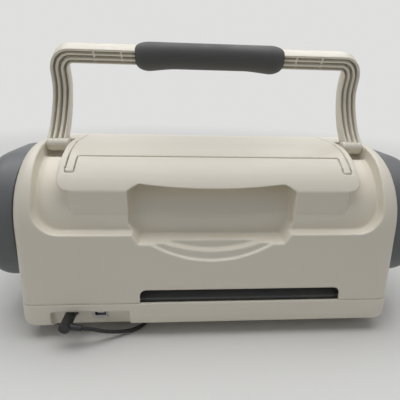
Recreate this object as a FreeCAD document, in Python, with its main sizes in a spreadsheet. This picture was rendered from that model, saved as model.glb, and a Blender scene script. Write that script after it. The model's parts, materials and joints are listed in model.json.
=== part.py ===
import FreeCAD
import Part
import Sketcher

import math
import os
from types import SimpleNamespace

from FreeCAD import Placement, Rotation, Vector

# Desktop die cutting machine in millimetres. X runs along the machine, the user stands at -Y, +Z is up
# and the origin is on the table under the middle of the machine.

SIZES = {
    # Housing: one D-shaped section, cut into shells
    "body_half": 176.0,
    "wall": 3.0,
    "top_height": 173.0,
    "top_half": 18.0,
    "shoulder_radius": 75.0,
    "side_lean": 8.0,
    "parting_height": 37.5,
    "end_round": 12.0,
    "end_bevel": 6.0,
    "frame_back": 10.0,
    "seam": 0.4,
    # Base tray and feet
    "foot_height": 10.0,
    "foot_radius": 9.0,
    "foot_x": 148.0,
    "foot_y": 78.0,
    "base_inset": 2.0,
    "base_round": 12.0,
    "base_bevel": 6.0,
    # End caps
    "cap_inset": 11.0,
    "cap_low": 38.5,
    "cap_corner": 46.0,
    "cap_round": 22.0,
    "cap_rise": 38.0,
    "cap_gap": 2.0,
    "cap_step": 6.0,
    "cap_wall": 3.5,
    "cap_bevel": 12.0,
    # Lid and its hinge
    "lid_half": 132.0,
    "lid_front": 34.0,
    "hinge_depth": 3.2,
    "hinge_angle": 52.0,
    "hinge_sweep": 15.0,
    "hinge_arm": 7.2,
    "hinge_eye": 5.0,
    "hinge_ear": 3.0,
    "pin_radius": 1.5,
    "running_fit": 0.05,
    # Front door
    "door_half": 150.0,
    "door_low": 40.0,
    "door_axis_height": 46.0,
    "door_knuckle": 6.5,
    "door_boss": 5.6,
    # Handle, described folded into its groove
    "handle_proud": 3.0,
    "handle_thick": 12.0,
    "handle_raise": 144.9,
    "pivot_y": 23.0,
    "pivot_pin": 2.0,
    "arm_out": 156.5,
    "arm_width": 17.0,
    "arm_flare": 3.7,
    "flare_low": 137.0,
    "flare_round": 160.0,
    "bar_low": 105.5,
    "bar_tall": 13.0,
    "bar_corner": 22.0,
    "bar_inner_corner": 7.0,
    "rib_skin": 3.5,
    "web_thick": 1.6,
    "web_in": 86.0,
    "web_out": 112.0,
    "channel_top": 157.0,
    # Soft grip
    "grip_half": 73.0,
    "grip_radius": 15.5,
    "grip_waist": 13.5,
    "grip_round": 6.0,
    # Handle groove, grip pocket, finger scoop and mat slot in the rear shell
    "groove_gap": 1.0,
    "groove_low_gap": 1.9,
    "groove_floor_gap": 1.2,
    "island_low": 140.2,
    "island_round": 10.0,
    "pocket_half": 76.0,
    "pocket_low": 95.0,
    "pocket_high": 145.5,
    "pocket_flare": 10.0,
    "pocket_slope": 15.0,
    "pocket_floor_gap": 2.0,
    "pivot_front": 8.0,
    "pivot_back": 36.0,
    "pivot_floor": 158.0,
    "scoop_half": 56.0,
    "scoop_drop": 16.0,
    "scoop_depth": 3.0,
    "lip_half": 44.0,
    "lip_drop": 8.0,
    "lip_depth": 9.0,
    "mat_left": -123.8,
    "mat_right": 66.5,
    "mat_slot_top": 50.4,
    "mat_slot_round": 6.0,
    # Port recess in the base
    "port_left": 76.8,
    "port_right": 148.0,
    "port_top": 29.5,
    "port_back": 96.0,
    "board_height": 16.0,
    "board_thick": 1.6,
    "board_deep": 54.0,
    "usb_x": 105.4,
    "usb_wide": 13.5,
    "usb_tall": 10.0,
    "jack_x": 132.0,
    "jack_height": 24.0,
    "jack_radius": 5.5,
    "plug_radius": 5.0,
    "plug_tip": 2.75,
    "plug_long": 22.0,
    "relief_thick": 3.6,
    "relief_thin": 2.4,
    "socket_deep": 14.0,
    "socket_wall": 1.6,
    "tongue_half": 1.5,
    "chip_side": 20.0,
    "chip_tall": 2.0,
    "capacitor_radius": 5.0,
    "capacitor_tall": 10.0,
    # Cutting bay
    "plate_thick": 2.0,
    "bay_left": -130.0,
    "bay_right": 72.0,
    "deck_thick": 3.0,
    "rib_inset": 10.0,
    "deck_front": -88.0,
    "deck_back": 95.0,
    "mat_lift": 1.0,
    "mat_thick": 1.5,
    "roller_radius": 6.0,
    "pinch_radius": 5.0,
    "journal_radius": 3.0,
    "gear_module": 1.0,
    "gear_teeth": 24.0,
    "pinion_teeth": 10.0,
    "gear_wide": 6.0,
    "plate_half": 40.0,
    "plate_top": 119.0,
    "rail_front": 10.0,
    "rail_back": 24.0,
    "rail_low": 92.0,
    "rail_high": 106.0,
    "shaft_radius": 4.0,
    "shaft_y": 0.0,
    "shaft_height": 72.0,
    "carriage_left": -50.0,
    "carriage_wide": 44.0,
    "holder_radius": 8.0,
    "holder_y": -16.0,
    "blade_radius": 1.2,
    "blade_tip": 42.5,
    "pulley_radius": 7.0,
    "pulley_tall": 7.0,
    "belt_thick": 1.2,
    "belt_tall": 5.0,
    "belt_rise": 1.0,
    "pulley_inset": 14.0,
    "motor_half": 17.5,
    "motor_long": 22.0,
    "motor_shaft": 2.5,
    # Control console
    "console_left": 85.0,
    "console_right": 147.0,
    "console_front": -80.0,
    "console_low": 40.0,
    "console_lip": 66.0,
    "console_top_y": -28.0,
    "console_top": 142.0,
    "console_back": -2.0,
    "console_wall": 2.5,
    "console_post_span": 50.0,
    "button_radius": 4.0,
    "button_stand": 2.5,
    "button_gap": 0.3,
    "button_flange": 1.2,
    "release_radius": 6.0,
    "release_angle": 45.0,
    "dial_radius": 7.5,
    "dial_tall": 7.0,
    "button_pitch": 14.4,
    "button_up": 47.9,
    "dial_pitch": 19.2,
    "dial_up": 65.4,
    "power_shift": 22.3,
    "keypad_up": 23.0,
    "keypad_wide": 55.8,
    "keypad_tall": 33.2,
    "key_wide": 5.0,
    "key_deep": 5.5,
    "key_sheet": 1.2,
    "key_tall": 0.8,
    "display_up": 82.9,
    "display_wide": 37.2,
    "display_tall": 11.0,
    "display_shift": 7.4,
    "cartridge_wide": 48.0,
    "cartridge_tall": 13.0,
    "cartridge_deep": 30.0,
    "cartridge_low": 46.0,
    # Cord
    "cord_radius": 1.75,
    "coil_radius": 21.0,
    "coil_section": 5.6,
    "coil_bevel": 3.0,
    "coil_lift": 1.5,
    "tie_thick": 0.8,
    "tie_gap": 0.5,
    "coil_x": 226.0,
    "coil_y": -70.0,
    "adapter_long": 66.0,
    "adapter_wide": 46.0,
    "adapter_tall": 32.0,
    "adapter_gap": 3.0,
    "adapter_relief": 9.0,
    "adapter_sleeve": 2.8,
    "blade_pitch": 12.7,
    "blade_wide": 6.4,
    "blade_thick": 1.5,
    "blade_long": 16.0,
}

doc = FreeCAD.newDocument("DieCuttingMachine")
sheet = doc.addObject("Spreadsheet::Sheet", "Sizes")


class Dim:
    """A size that carries its value and the sheet expression it comes from."""

    def __init__(self, value, text):
        self.value = float(value)
        self.text = text

    def join(self, other, sign, value):
        return Dim(value, "(" + self.text + " " + sign + " " + other.text + ")")

    def __add__(self, other):
        other = dim(other)
        return self.join(other, "+", self.value + other.value)

    def __sub__(self, other):
        other = dim(other)
        return self.join(other, "-", self.value - other.value)

    def __mul__(self, other):
        other = dim(other)
        return self.join(other, "*", self.value * other.value)

    def __truediv__(self, other):
        other = dim(other)
        return self.join(other, "/", self.value / other.value)

    def __neg__(self):
        return Dim(-self.value, "(-" + self.text + ")")

    def __radd__(self, other):
        return dim(other) + self

    def __rsub__(self, other):
        return dim(other) - self

    def __rmul__(self, other):
        return dim(other) * self


def dim(number):
    if isinstance(number, Dim):
        return number
    return Dim(number, "(" + repr(float(number)) + ")")


def cosd(angle):
    angle = dim(angle)
    return Dim(math.cos(math.radians(angle.value)), "cos(" + angle.text + ")")


def sind(angle):
    angle = dim(angle)
    return Dim(math.sin(math.radians(angle.value)), "sin(" + angle.text + ")")


def root(square):
    return Dim(math.sqrt(square.value), "sqrt(" + square.text + ")")


def fill_sheet():
    for row, (name, value) in enumerate(SIZES.items(), 1):
        sheet.set("A" + str(row), name)
        sheet.set("B" + str(row), str(value))
        sheet.setAlias("B" + str(row), name)
    doc.recompute()


fill_sheet()
d = SimpleNamespace(**{name: Dim(value, "Sizes." + name) for name, value in SIZES.items()})


# Building blocks

PARTS = []
COUNT = [0]
NEAR = 0.01


def fresh(kind):
    COUNT[0] += 1
    return kind + str(COUNT[0])


def bind(item, prop, size):
    item.setExpression(prop, dim(size).text)


def place(item, x, y, z):
    bind(item, "Placement.Base.x", x)
    bind(item, "Placement.Base.y", y)
    bind(item, "Placement.Base.z", z)


def part(item, label):
    item.Label = label
    PARTS.append(item)
    return item


def box(x, y, z):
    item = doc.addObject("Part::Box", fresh("Block"))
    low = [dim(pair[0]) for pair in (x, y, z)]
    high = [dim(pair[1]) for pair in (x, y, z)]
    for prop, start, end in zip(("Length", "Width", "Height"), low, high):
        bind(item, prop, end - start)
    place(item, *low)
    return item


TURN = {
    "x": Rotation(Vector(0, 1, 0), 90),
    "y": Rotation(Vector(1, 0, 0), -90),
    "z": Rotation(),
}


def rod(axis, start, end, radius, at):
    """A cylinder along an axis from start to end, at the two other coordinates."""
    item = doc.addObject("Part::Cylinder", fresh("Rod"))
    item.Placement = Placement(Vector(), TURN[axis])
    start = dim(start)
    bind(item, "Radius", radius)
    bind(item, "Height", dim(end) - start)
    spot = {"x": (start, at[0], at[1]), "y": (at[0], start, at[1]), "z": (at[0], at[1], start)}
    place(item, *spot[axis])
    return item


def fuse(*items):
    item = doc.addObject("Part::MultiFuse", fresh("Union"))
    item.Shapes = list(items)
    item.Refine = True
    return item


def cut(base, *tools):
    item = doc.addObject("Part::Cut", fresh("Difference"))
    item.Base = base
    item.Tool = tools[0] if len(tools) == 1 else fuse(*tools)
    item.Refine = True
    return item


def common(first, second):
    item = doc.addObject("Part::Common", fresh("Overlap"))
    item.Base = first
    item.Tool = second
    item.Refine = True
    return item


def group(*items):
    item = doc.addObject("Part::Compound", fresh("Group"))
    item.Links = list(items)
    return item


def edge_curve(start, end, radius):
    """The line or arc from start to end; a positive radius turns to the left."""
    if radius is None:
        return Part.LineSegment(start, end), 1
    size = abs(radius.value)
    chord = end - start
    left = Vector(-chord.y, chord.x, 0)
    left.normalize()
    rise = math.sqrt(max(size * size - chord.Length * chord.Length / 4, 0))
    if radius.value < 0:
        start, end = end, start
        rise = -rise
    centre = (start + end) / 2 + left * rise
    first = math.atan2(start.y - centre.y, start.x - centre.x)
    last = math.atan2(end.y - centre.y, end.x - centre.x)
    circle = Part.Circle(centre, Vector(0, 0, 1), size)
    return Part.ArcOfCircle(circle, first, last), 1 if radius.value > 0 else 2


def draw(body, plane, offset, outline):
    """A closed sketch. A corner is (u, v), or (u, v, radius) where an arc leaves it."""
    item = body.newObject("Sketcher::SketchObject", fresh("Outline"))
    side = [feature for feature in body.Origin.OriginFeatures if feature.Role == plane][0]
    item.AttachmentSupport = (side, [""])
    item.MapMode = "FlatFace"
    bind(item, "AttachmentOffset.Base.z", offset)
    corners = [(dim(c[0]), dim(c[1]), dim(c[2]) if len(c) > 2 else None) for c in outline]
    total = len(corners)
    curves = []
    starts = []
    for index, corner in enumerate(corners):
        following = corners[(index + 1) % total]
        start = Vector(corner[0].value, corner[1].value, 0)
        end = Vector(following[0].value, following[1].value, 0)
        curve, first = edge_curve(start, end, corner[2])
        curves.append(curve)
        starts.append(first)
    item.addGeometry(curves, False)
    rules = []
    sizes = []
    for index, corner in enumerate(corners):
        after = (index + 1) % total
        rules.append(Sketcher.Constraint("Coincident", index, 3 - starts[index], after, starts[after]))
        sizes.append(None)
        rules.append(Sketcher.Constraint("DistanceX", -1, 1, index, starts[index], corner[0].value))
        sizes.append(corner[0])
        rules.append(Sketcher.Constraint("DistanceY", -1, 1, index, starts[index], corner[1].value))
        sizes.append(corner[1])
        if corner[2] is not None:
            rules.append(Sketcher.Constraint("Radius", index, abs(corner[2].value)))
            sizes.append(corner[2] if corner[2].value > 0 else -corner[2])
    item.addConstraint(rules)
    for index, size in enumerate(sizes):
        if size is not None and "Sizes." in size.text:
            item.setExpression("Constraints[" + str(index) + "]", size.text)
    return item


def prism(plane, low, high, outline):
    """A body padded from low to high along the plane's axis: YZ along X, XZ along Y, XY along Z."""
    low = dim(low)
    high = dim(high)
    body = doc.addObject("PartDesign::Body", fresh("Body"))
    backwards = plane == "XZ"
    profile = draw(body, plane + "_Plane", -low if backwards else low, outline)
    pad = body.newObject("PartDesign::Pad", fresh("Pad"))
    pad.Profile = profile
    pad.Reversed = backwards
    bind(pad, "Length", high - low)
    return body


def dress(body, kind, prop, size, wanted):
    """Round or bevel the edges of a body whose midpoints pass the test."""
    doc.recompute()
    base = body.Tip
    names = []
    for index, edge in enumerate(base.Shape.Edges, 1):
        if wanted(edge.valueAt((edge.FirstParameter + edge.LastParameter) / 2)):
            names.append("Edge" + str(index))
    item = body.newObject("PartDesign::" + kind, fresh(kind))
    item.Base = (base, names)
    bind(item, prop, size)
    return body


def soften(body, radius, wanted):
    return dress(body, "Fillet", "Radius", radius, wanted)


def bevel(body, size, wanted):
    return dress(body, "Chamfer", "Size", size, wanted)


def spin(outline, axis, spot):
    """A body turned about the sketch's H_Axis, along X, or its V_Axis, along Z, through a spot."""
    body = doc.addObject("PartDesign::Body", fresh("Body"))
    profile = draw(body, "XZ_Plane", 0, outline)
    turned = body.newObject("PartDesign::Revolution", fresh("Turned"))
    turned.Profile = profile
    turned.ReferenceAxis = (profile, [axis])
    turned.Angle = 360
    place(body, *spot)
    return body


# The D-shaped section that every shell is cut from

SHOULDER_Z = d.top_height - d.shoulder_radius


def on_arc(radius, angle):
    return d.top_half + radius * cosd(angle), SHOULDER_Z + radius * sind(angle)


def side_y(height, inset=0):
    reach = d.shoulder_radius - inset - (height - SHOULDER_Z) * sind(d.side_lean)
    return d.top_half + reach / cosd(d.side_lean)


def section(inset, low):
    radius = d.shoulder_radius - inset
    y, z = on_arc(radius, d.side_lean)
    foot = side_y(low, inset)
    top = d.top_height - inset
    return [(-foot, low), (foot, low), (y, z, radius), (d.top_half, top), (-d.top_half, top, radius), (-y, z)]


def solid_section(inset, low, half):
    return prism("YZ", -half, half, section(inset, low))


def shell():
    """The hollow upper housing before it is cut into pieces."""
    outer_half = d.body_half
    inner_half = d.body_half - d.wall
    below = d.parting_height - d.wall

    def end_edges(half, low):
        return lambda middle: abs(middle.x) > half.value - NEAR and middle.z > low.value + NEAR

    outer = soften(solid_section(0, d.parting_height, outer_half), d.end_round,
                   end_edges(outer_half, d.parting_height))
    inner = bevel(solid_section(d.wall, below, inner_half), d.end_bevel, end_edges(inner_half, below))
    return outer, cut(outer, inner)


OUTER, SHELL = shell()
FAR = d.shoulder_radius + d.top_half + d.foot_height * 3
HINGE = on_arc(d.shoulder_radius - d.hinge_depth, d.hinge_angle)
DOOR_AXIS = (-side_y(d.door_axis_height, d.wall), d.door_axis_height)
TOP = d.top_height + d.wall


def both(make):
    """The same piece at both ends of the machine."""
    return [make(1), make(-1)]


def span(sign, low, high):
    """An interval along X, mirrored for the left end."""
    if sign > 0:
        return dim(low), dim(high)
    return -dim(high), -dim(low)


# Handle, folded, with its groove

BAND_OUT = d.shoulder_radius + d.handle_proud
BAND_IN = BAND_OUT - d.handle_thick
BAND_MID = BAND_OUT - d.handle_thick / 2
PIVOT_Y = d.pivot_y
PIVOT_Z = SHOULDER_Z + root(BAND_MID * BAND_MID - (PIVOT_Y - d.top_half) * (PIVOT_Y - d.top_half))
FLARE_HIGH = PIVOT_Z
ARM_END = d.handle_thick / 2
# The three channels in the handle's back, as shares of its width from the outside to the inside
CHANNELS = ((0.13, 0.34), (0.42, 0.58), (0.66, 0.87))


def flare_side(x, top, low):
    """An arm's edge at x, from its top down past the soft start of its flare to low."""
    rise = FLARE_HIGH - d.flare_low
    slant = root(rise * rise + d.arm_flare * d.arm_flare)
    run = d.flare_round * (slant - rise) / d.arm_flare
    bend = (x + run * d.arm_flare / slant, d.flare_low + run * rise / slant)
    points = [bend, (x, d.flare_low - run), (x, low)]
    if top.value > FLARE_HIGH.value:
        return [(x + d.arm_flare, top), (x + d.arm_flare, FLARE_HIGH)] + points
    return [(x + d.arm_flare * (top - d.flare_low) / rise, top)] + points


def arced(points, place_in_list, radius):
    """The points, with an arc leaving one of them."""
    return [point + (radius,) if index == place_in_list % len(points) else point
            for index, point in enumerate(points)]


def mirrored(points):
    return [(-point[0], point[1]) for point in points]


def u_band(near, far, top):
    """A U outline between two shares of the handle's width, 0 on its outside and 1 on its inside."""

    def corner(share):
        return d.bar_corner + (d.bar_inner_corner - d.bar_corner) * share

    def side(share):
        low = d.bar_low + d.bar_tall * share + corner(share)
        return flare_side(d.arm_out - d.arm_width * share, top, low)

    def foot(share):
        return d.arm_out - d.arm_width * share - corner(share), d.bar_low + d.bar_tall * share

    def arm(points, radius):
        return arced(points, -3, d.flare_round * radius)

    down = side(near)
    up = side(far)
    out_x, out_z = foot(near)
    in_x, in_z = foot(far)
    outer = arced(arm(down, 1), -1, -corner(near)) + [(out_x, out_z), (-out_x, out_z, -corner(near))]
    outer += arced(mirrored(down[::-1]), 1, d.flare_round)
    inner = arced(arm(mirrored(up), -1), -1, corner(far)) + [(-in_x, in_z), (in_x, in_z, corner(far))]
    return outer + inner + arced(up[::-1], 1, -d.flare_round)


def around_shoulder(radius, half):
    return rod("x", -half, half, radius, (d.top_half, SHOULDER_Z))


def handle():
    half = d.arm_out + d.arm_flare * 2
    band = cut(around_shoulder(BAND_OUT, half), around_shoulder(BAND_IN, half))
    blank = common(band, prism("XZ", PIVOT_Y, FAR, u_band(0, 1, TOP)))
    inner_x = d.arm_out - d.arm_width
    outer_x = d.arm_out + d.arm_flare

    def eye(sign):
        low, high = span(sign, inner_x, outer_x)
        return rod("x", low, high, ARM_END, (PIVOT_Y, PIVOT_Z))

    def bore(sign):
        low, high = span(sign, inner_x - d.wall, outer_x + d.wall)
        return rod("x", low, high, d.pivot_pin + d.running_fit, (PIVOT_Y, PIVOT_Z))

    webs = []
    for reach in (d.web_in, d.web_out):
        for sign in (1, -1):
            x = span(sign, reach - d.web_thick / 2, reach + d.web_thick / 2)
            webs.append(box(x, (PIVOT_Y, FAR), (d.bar_low, d.bar_low + d.bar_tall)))
    core = around_shoulder(BAND_OUT - d.rib_skin, half)
    channels = []
    for near, far in CHANNELS:
        groove = common(core, prism("XZ", PIVOT_Y, FAR, u_band(near, far, d.channel_top)))
        channels.append(cut(groove, *webs))
    frame = cut(fuse(blank, *both(eye)), *channels, *both(bore))
    bar_z = d.bar_low + d.bar_tall / 2
    bar_y = d.top_half + root(BAND_MID * BAND_MID - (bar_z - SHOULDER_Z) * (bar_z - SHOULDER_Z))
    half_grip = d.grip_half
    tip = d.grip_radius - d.grip_round
    bulge = half_grip - d.grip_round
    skin = [(-half_grip, 0), (half_grip, 0), (half_grip, tip, d.grip_round), (bulge, d.grip_radius),
            (0, d.grip_waist), (-bulge, d.grip_radius, d.grip_round), (-half_grip, tip)]
    grip = cut(spin(skin, "H_Axis", (0, bar_y, bar_z)), blank)
    for item, label in ((frame, "handle_frame"), (grip, "handle_grip")):
        turn = Rotation(Vector(1, 0, 0), d.handle_raise.value)
        pivot = Vector(0, PIVOT_Y.value, PIVOT_Z.value)
        item.Placement = Placement(Vector(), turn, pivot)
        part(item, label)

    def pin(sign):
        low, high = span(sign, inner_x - d.groove_gap - d.wall, outer_x + d.groove_gap + d.wall)
        return rod("x", low, high, d.pivot_pin, (PIVOT_Y, PIVOT_Z))

    part(group(*both(pin)), "handle_pins")


def groove_outline(grow):
    """The handle's U with room around it; the island between its arms is left standing."""
    gap = d.groove_gap + grow
    x = d.arm_out + gap
    low = d.bar_low - d.groove_low_gap - grow
    corner = d.bar_corner + gap
    inner = d.arm_out - d.arm_width - gap
    island = d.island_low + grow
    soft = d.island_round
    down = flare_side(x, TOP, low + corner)
    outer = arced(arced(down, -3, d.flare_round), -1, -corner)
    outer += [(x - corner, low), (corner - x, low, -corner)]
    outer += arced(mirrored(down[::-1]), 1, d.flare_round)
    return outer + [(-inner, TOP), (-inner, island + soft, soft), (soft - inner, island),
                    (inner - soft, island, soft), (inner, island + soft), (inner, TOP)]


def pocket_outline(grow):
    """The grip's pocket, wider at the height of the handle's bar than at its foot and its roof."""
    half = d.pocket_half + grow
    wide = half + d.pocket_flare
    low = d.pocket_low - grow
    high = d.pocket_high + grow
    right = [(half, low), (wide, low + d.pocket_slope), (wide, d.island_low + grow), (half, high)]
    return right + mirrored(right[::-1])


def island_wall(floor):
    """The wall under the island's lower edge, kept clear of the bar as the handle swings."""
    rise = d.island_low - SHOULDER_Z
    face = d.top_half + root(d.shoulder_radius * d.shoulder_radius - rise * rise)
    bar_top = d.bar_low + d.bar_tall
    bar_rise = bar_top - SHOULDER_Z
    run = d.top_half + root(BAND_IN * BAND_IN - bar_rise * bar_rise) - PIVOT_Y
    drop = PIVOT_Z - bar_top
    swing = root(run * run + drop * drop) - d.groove_gap
    half = d.arm_out - d.arm_width - d.groove_gap - 2 * d.wall
    block = prism("XY", d.bar_low, d.island_low + d.wall / 2,
                  [(-half, PIVOT_Y), (half, PIVOT_Y), (half, face), (-half, face)])

    def at_corner(middle):
        return middle.y > face.value - NEAR and abs(middle.x) > half.value - NEAR

    soften(block, d.island_round, at_corner)
    inside = common(block, around_shoulder(d.shoulder_radius, d.body_half))
    swept = common(inside, rod("x", -half, half, swing, (PIVOT_Y, PIVOT_Z)))
    return cut(swept, around_shoulder(floor - d.wall / 2, d.body_half))


def crescent(half, drop, grow):
    half = half + grow
    drop = drop + grow
    radius = (half * half + drop * drop) / (2 * drop)
    top = d.pocket_low + d.wall
    return [(-half, d.pocket_low, radius), (half, d.pocket_low), (half, top), (-half, top)]


def rear_shell():
    reach = d.body_half + d.wall
    low = d.parting_height - d.wall
    base = common(SHELL, box((-reach, reach), (-d.frame_back, FAR), (low, TOP)))
    floor = BAND_IN - d.groove_floor_gap
    pocket = BAND_MID - d.grip_radius - d.pocket_floor_gap
    skin = d.shoulder_radius - d.wall / 2
    ring = cut(around_shoulder(skin, d.body_half), around_shoulder(floor - d.wall, reach))
    groove_front = PIVOT_Y - ARM_END - d.groove_gap
    liner = common(ring, prism("XZ", groove_front, FAR, groove_outline(d.wall)))
    lean_skin = solid_section(d.wall / 2, low, d.body_half)
    deep_liner = common(cut(lean_skin, around_shoulder(pocket - d.wall, reach)),
                        prism("XZ", d.top_half, FAR, pocket_outline(d.wall)))
    x_in = d.arm_out - d.arm_width - d.groove_gap
    x_out = d.arm_out + d.arm_flare + d.groove_gap

    def pivot_liner(sign):
        x = span(sign, x_in - d.wall, x_out + d.wall)
        y = (d.pivot_front - d.wall, d.pivot_back + d.wall)
        return common(OUTER, box(x, y, (d.pivot_floor - d.wall, d.top_height - d.wall / 2)))

    def pivot_pocket(sign):
        return box(span(sign, x_in, x_out), (d.pivot_front, d.pivot_back), (d.pivot_floor, TOP))

    def pivot_bore(sign):
        x = span(sign, x_in - 2 * d.wall, x_out + 2 * d.wall)
        return rod("x", x[0], x[1], d.pivot_pin, (PIVOT_Y, PIVOT_Z))

    def ears(sign):
        eye_in = d.lid_half - d.seam - d.hinge_arm
        made = []
        for start in (eye_in - d.seam - d.hinge_ear, d.lid_half + d.seam):
            x = span(sign, start, start + d.hinge_ear)
            made.append(common(OUTER, rod("x", x[0], x[1], d.hinge_eye, HINGE)))
        return fuse(*made)

    def lid_bore(sign):
        x = span(sign, d.lid_half - d.hinge_arm * 2, d.lid_half + d.hinge_arm)
        return rod("x", x[0], x[1], d.pin_radius, HINGE)

    def arm_slot(sign):
        x = span(sign, d.lid_half - d.hinge_arm - 2 * d.seam, d.lid_half + d.seam)
        return fuse(box(x, (HINGE[0] - d.hinge_sweep, HINGE[0]), (HINGE[1] - d.hinge_eye, TOP)),
                    rod("x", x[0], x[1], d.hinge_eye + d.seam, HINGE))

    lid_room = d.lid_half + d.seam
    lid_hole = cut(box((-lid_room, lid_room), (-d.frame_back - d.wall, HINGE[0]),
                       (HINGE[1] - d.hinge_eye, TOP)),
                   rod("x", -lid_room, lid_room, d.hinge_sweep - d.seam / 2, HINGE))
    scoop_back = cut(lean_skin, solid_section(d.lip_depth + d.wall, low - d.wall, reach))
    scoop_liner = common(scoop_back, prism("XZ", d.top_half, FAR,
                                           crescent(d.scoop_half, d.scoop_drop, d.wall)))

    def hollow(half, drop, depth):
        return cut(prism("XZ", d.top_half, FAR, crescent(half, drop, 0)),
                   solid_section(depth, low - d.wall, reach))

    groove = cut(prism("XZ", groove_front, FAR, groove_outline(0)), around_shoulder(floor, reach))
    grip_room = cut(prism("XZ", d.top_half, FAR, pocket_outline(0)), around_shoulder(pocket, reach))
    soft = d.mat_slot_round
    slot = prism("XZ", d.deck_back - d.wall, FAR, [
        (d.mat_left, low), (d.mat_right, low), (d.mat_right, d.mat_slot_top - soft, soft),
        (d.mat_right - soft, d.mat_slot_top), (d.mat_left + soft, d.mat_slot_top, soft),
        (d.mat_left, d.mat_slot_top - soft)])
    grown = fuse(base, liner, deep_liner, scoop_liner, *both(pivot_liner))
    grooved = fuse(cut(grown, lid_hole, groove), island_wall(floor))
    opened = cut(grooved, grip_room, slot, hollow(d.scoop_half, d.scoop_drop, d.scoop_depth),
                 hollow(d.lip_half, d.lip_drop, d.lip_depth), *both(pivot_pocket))
    slotted = cut(opened, *both(arm_slot))
    eared = fuse(slotted, *both(ears))
    part(cut(eared, *both(lid_bore), *both(pivot_bore)), "rear_shell")


def lid():
    half = d.lid_half
    band = common(SHELL, box((-half, half), (-d.lid_front, HINGE[0]), (HINGE[1] - d.hinge_eye, TOP)))
    top = cut(band, rod("x", -half - d.wall, half + d.wall, d.hinge_sweep + d.seam / 2, HINGE))

    def arm(sign):
        x = span(sign, d.lid_half - d.seam - d.hinge_arm, d.lid_half - d.seam)
        strip = common(SHELL, box(x, (HINGE[0] - 2 * d.hinge_sweep, HINGE[0]),
                                  (HINGE[1] - d.hinge_eye, TOP)))
        return fuse(strip, common(OUTER, rod("x", x[0], x[1], d.hinge_eye, HINGE)))

    def bore(sign):
        x = span(sign, d.lid_half - 2 * d.hinge_arm, d.lid_half + d.wall)
        return rod("x", x[0], x[1], d.pin_radius + d.running_fit, HINGE)

    def pin(sign):
        x = span(sign, d.lid_half - d.hinge_arm - 2 * d.seam - d.hinge_ear, d.lid_half + d.seam + d.hinge_ear)
        return rod("x", x[0], x[1], d.pin_radius, HINGE)

    part(cut(fuse(top, *both(arm)), *both(bore)), "top_lid")
    part(group(*both(pin)), "lid_pins")


def front():
    half = d.door_half
    panel = common(SHELL, box((-half, half), (-FAR, -d.lid_front - d.seam), (d.door_low, TOP)))

    def knuckle(sign):
        x = span(sign, d.door_half - d.door_knuckle, d.door_half)
        return common(OUTER, rod("x", x[0], x[1], d.wall, DOOR_AXIS))

    def bore(sign):
        x = span(sign, d.door_half - d.door_knuckle - d.wall, d.door_half + d.wall)
        return rod("x", x[0], x[1], d.pin_radius + d.running_fit, DOOR_AXIS)

    def pin(sign):
        x = span(sign, d.door_half - d.door_knuckle, d.door_half + d.seam + d.door_boss)
        return rod("x", x[0], x[1], d.pin_radius, DOOR_AXIS)

    part(cut(fuse(panel, *both(knuckle)), *both(bore)), "front_door")
    part(group(*both(pin)), "door_pins")
    for sign, label in ((1, "front_frame_right"), (-1, "front_frame_left")):
        low = d.parting_height - d.wall
        edge = d.door_half + d.seam
        reach = d.body_half + d.wall
        room = fuse(box(span(sign, edge, reach), (-FAR, -d.frame_back), (low, TOP)),
                    box(span(sign, d.lid_half + d.seam, reach), (-d.lid_front, -d.frame_back), (low, TOP)))
        x = span(sign, edge, edge + d.door_boss)
        boss = common(OUTER, rod("x", x[0], x[1], d.wall + d.pin_radius, DOOR_AXIS))
        x = span(sign, edge - d.wall, edge + d.door_boss)
        hole = rod("x", x[0], x[1], d.pin_radius, DOOR_AXIS)
        made = cut(fuse(common(SHELL, room), boss), hole)
        if sign > 0:
            made = cut(made, button_hole(RELEASE, d.release_radius))
        part(made, label)


# Pieces set square to a slanted face

def slanted(x, y, z, angle):
    """A local frame: its Z leaves the face, at an angle above the level towards -Y."""
    return SimpleNamespace(x=dim(x), y=dim(y), z=dim(z), angle=angle)


def stud(spot, low, high, radius):
    item = doc.addObject("Part::Cylinder", fresh("Stud"))
    item.Placement = Placement(Vector(), Rotation(Vector(1, 0, 0), 90 - spot.angle.value))
    bind(item, "Radius", radius)
    bind(item, "Height", dim(high) - dim(low))
    place(item, spot.x, spot.y - dim(low) * cosd(spot.angle), spot.z + dim(low) * sind(spot.angle))
    return item


def button(spot, radius, thick):
    """A push button with a flange that keeps it under its panel."""
    under = -thick - d.button_gap
    flange = stud(spot, under - d.button_flange, under, radius + d.button_flange)
    return fuse(stud(spot, under - d.button_flange / 2, d.button_stand, radius), flange)


def button_hole(spot, radius):
    return stud(spot, -4 * d.wall, 4 * d.wall, radius + d.button_gap)


RELEASE_Y, RELEASE_Z = on_arc(d.shoulder_radius, d.release_angle)
RELEASE_X = d.door_half + d.seam + d.release_radius + 2 * d.button_flange
RELEASE = slanted(RELEASE_X, -RELEASE_Y, RELEASE_Z, d.release_angle)


# Base, feet and end caps

def tray_outline(inset, low, high):
    return [(-side_y(low, inset), low), (side_y(low, inset), low), (side_y(high, inset), high),
            (-side_y(high, inset), high)]


def tray_block(inset, low, high, finish, size):
    half = d.body_half - d.base_inset - inset
    body = prism("YZ", -half, half, tray_outline(inset, low, high))
    return finish(body, size, lambda middle: middle.z < high.value - NEAR)


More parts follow.
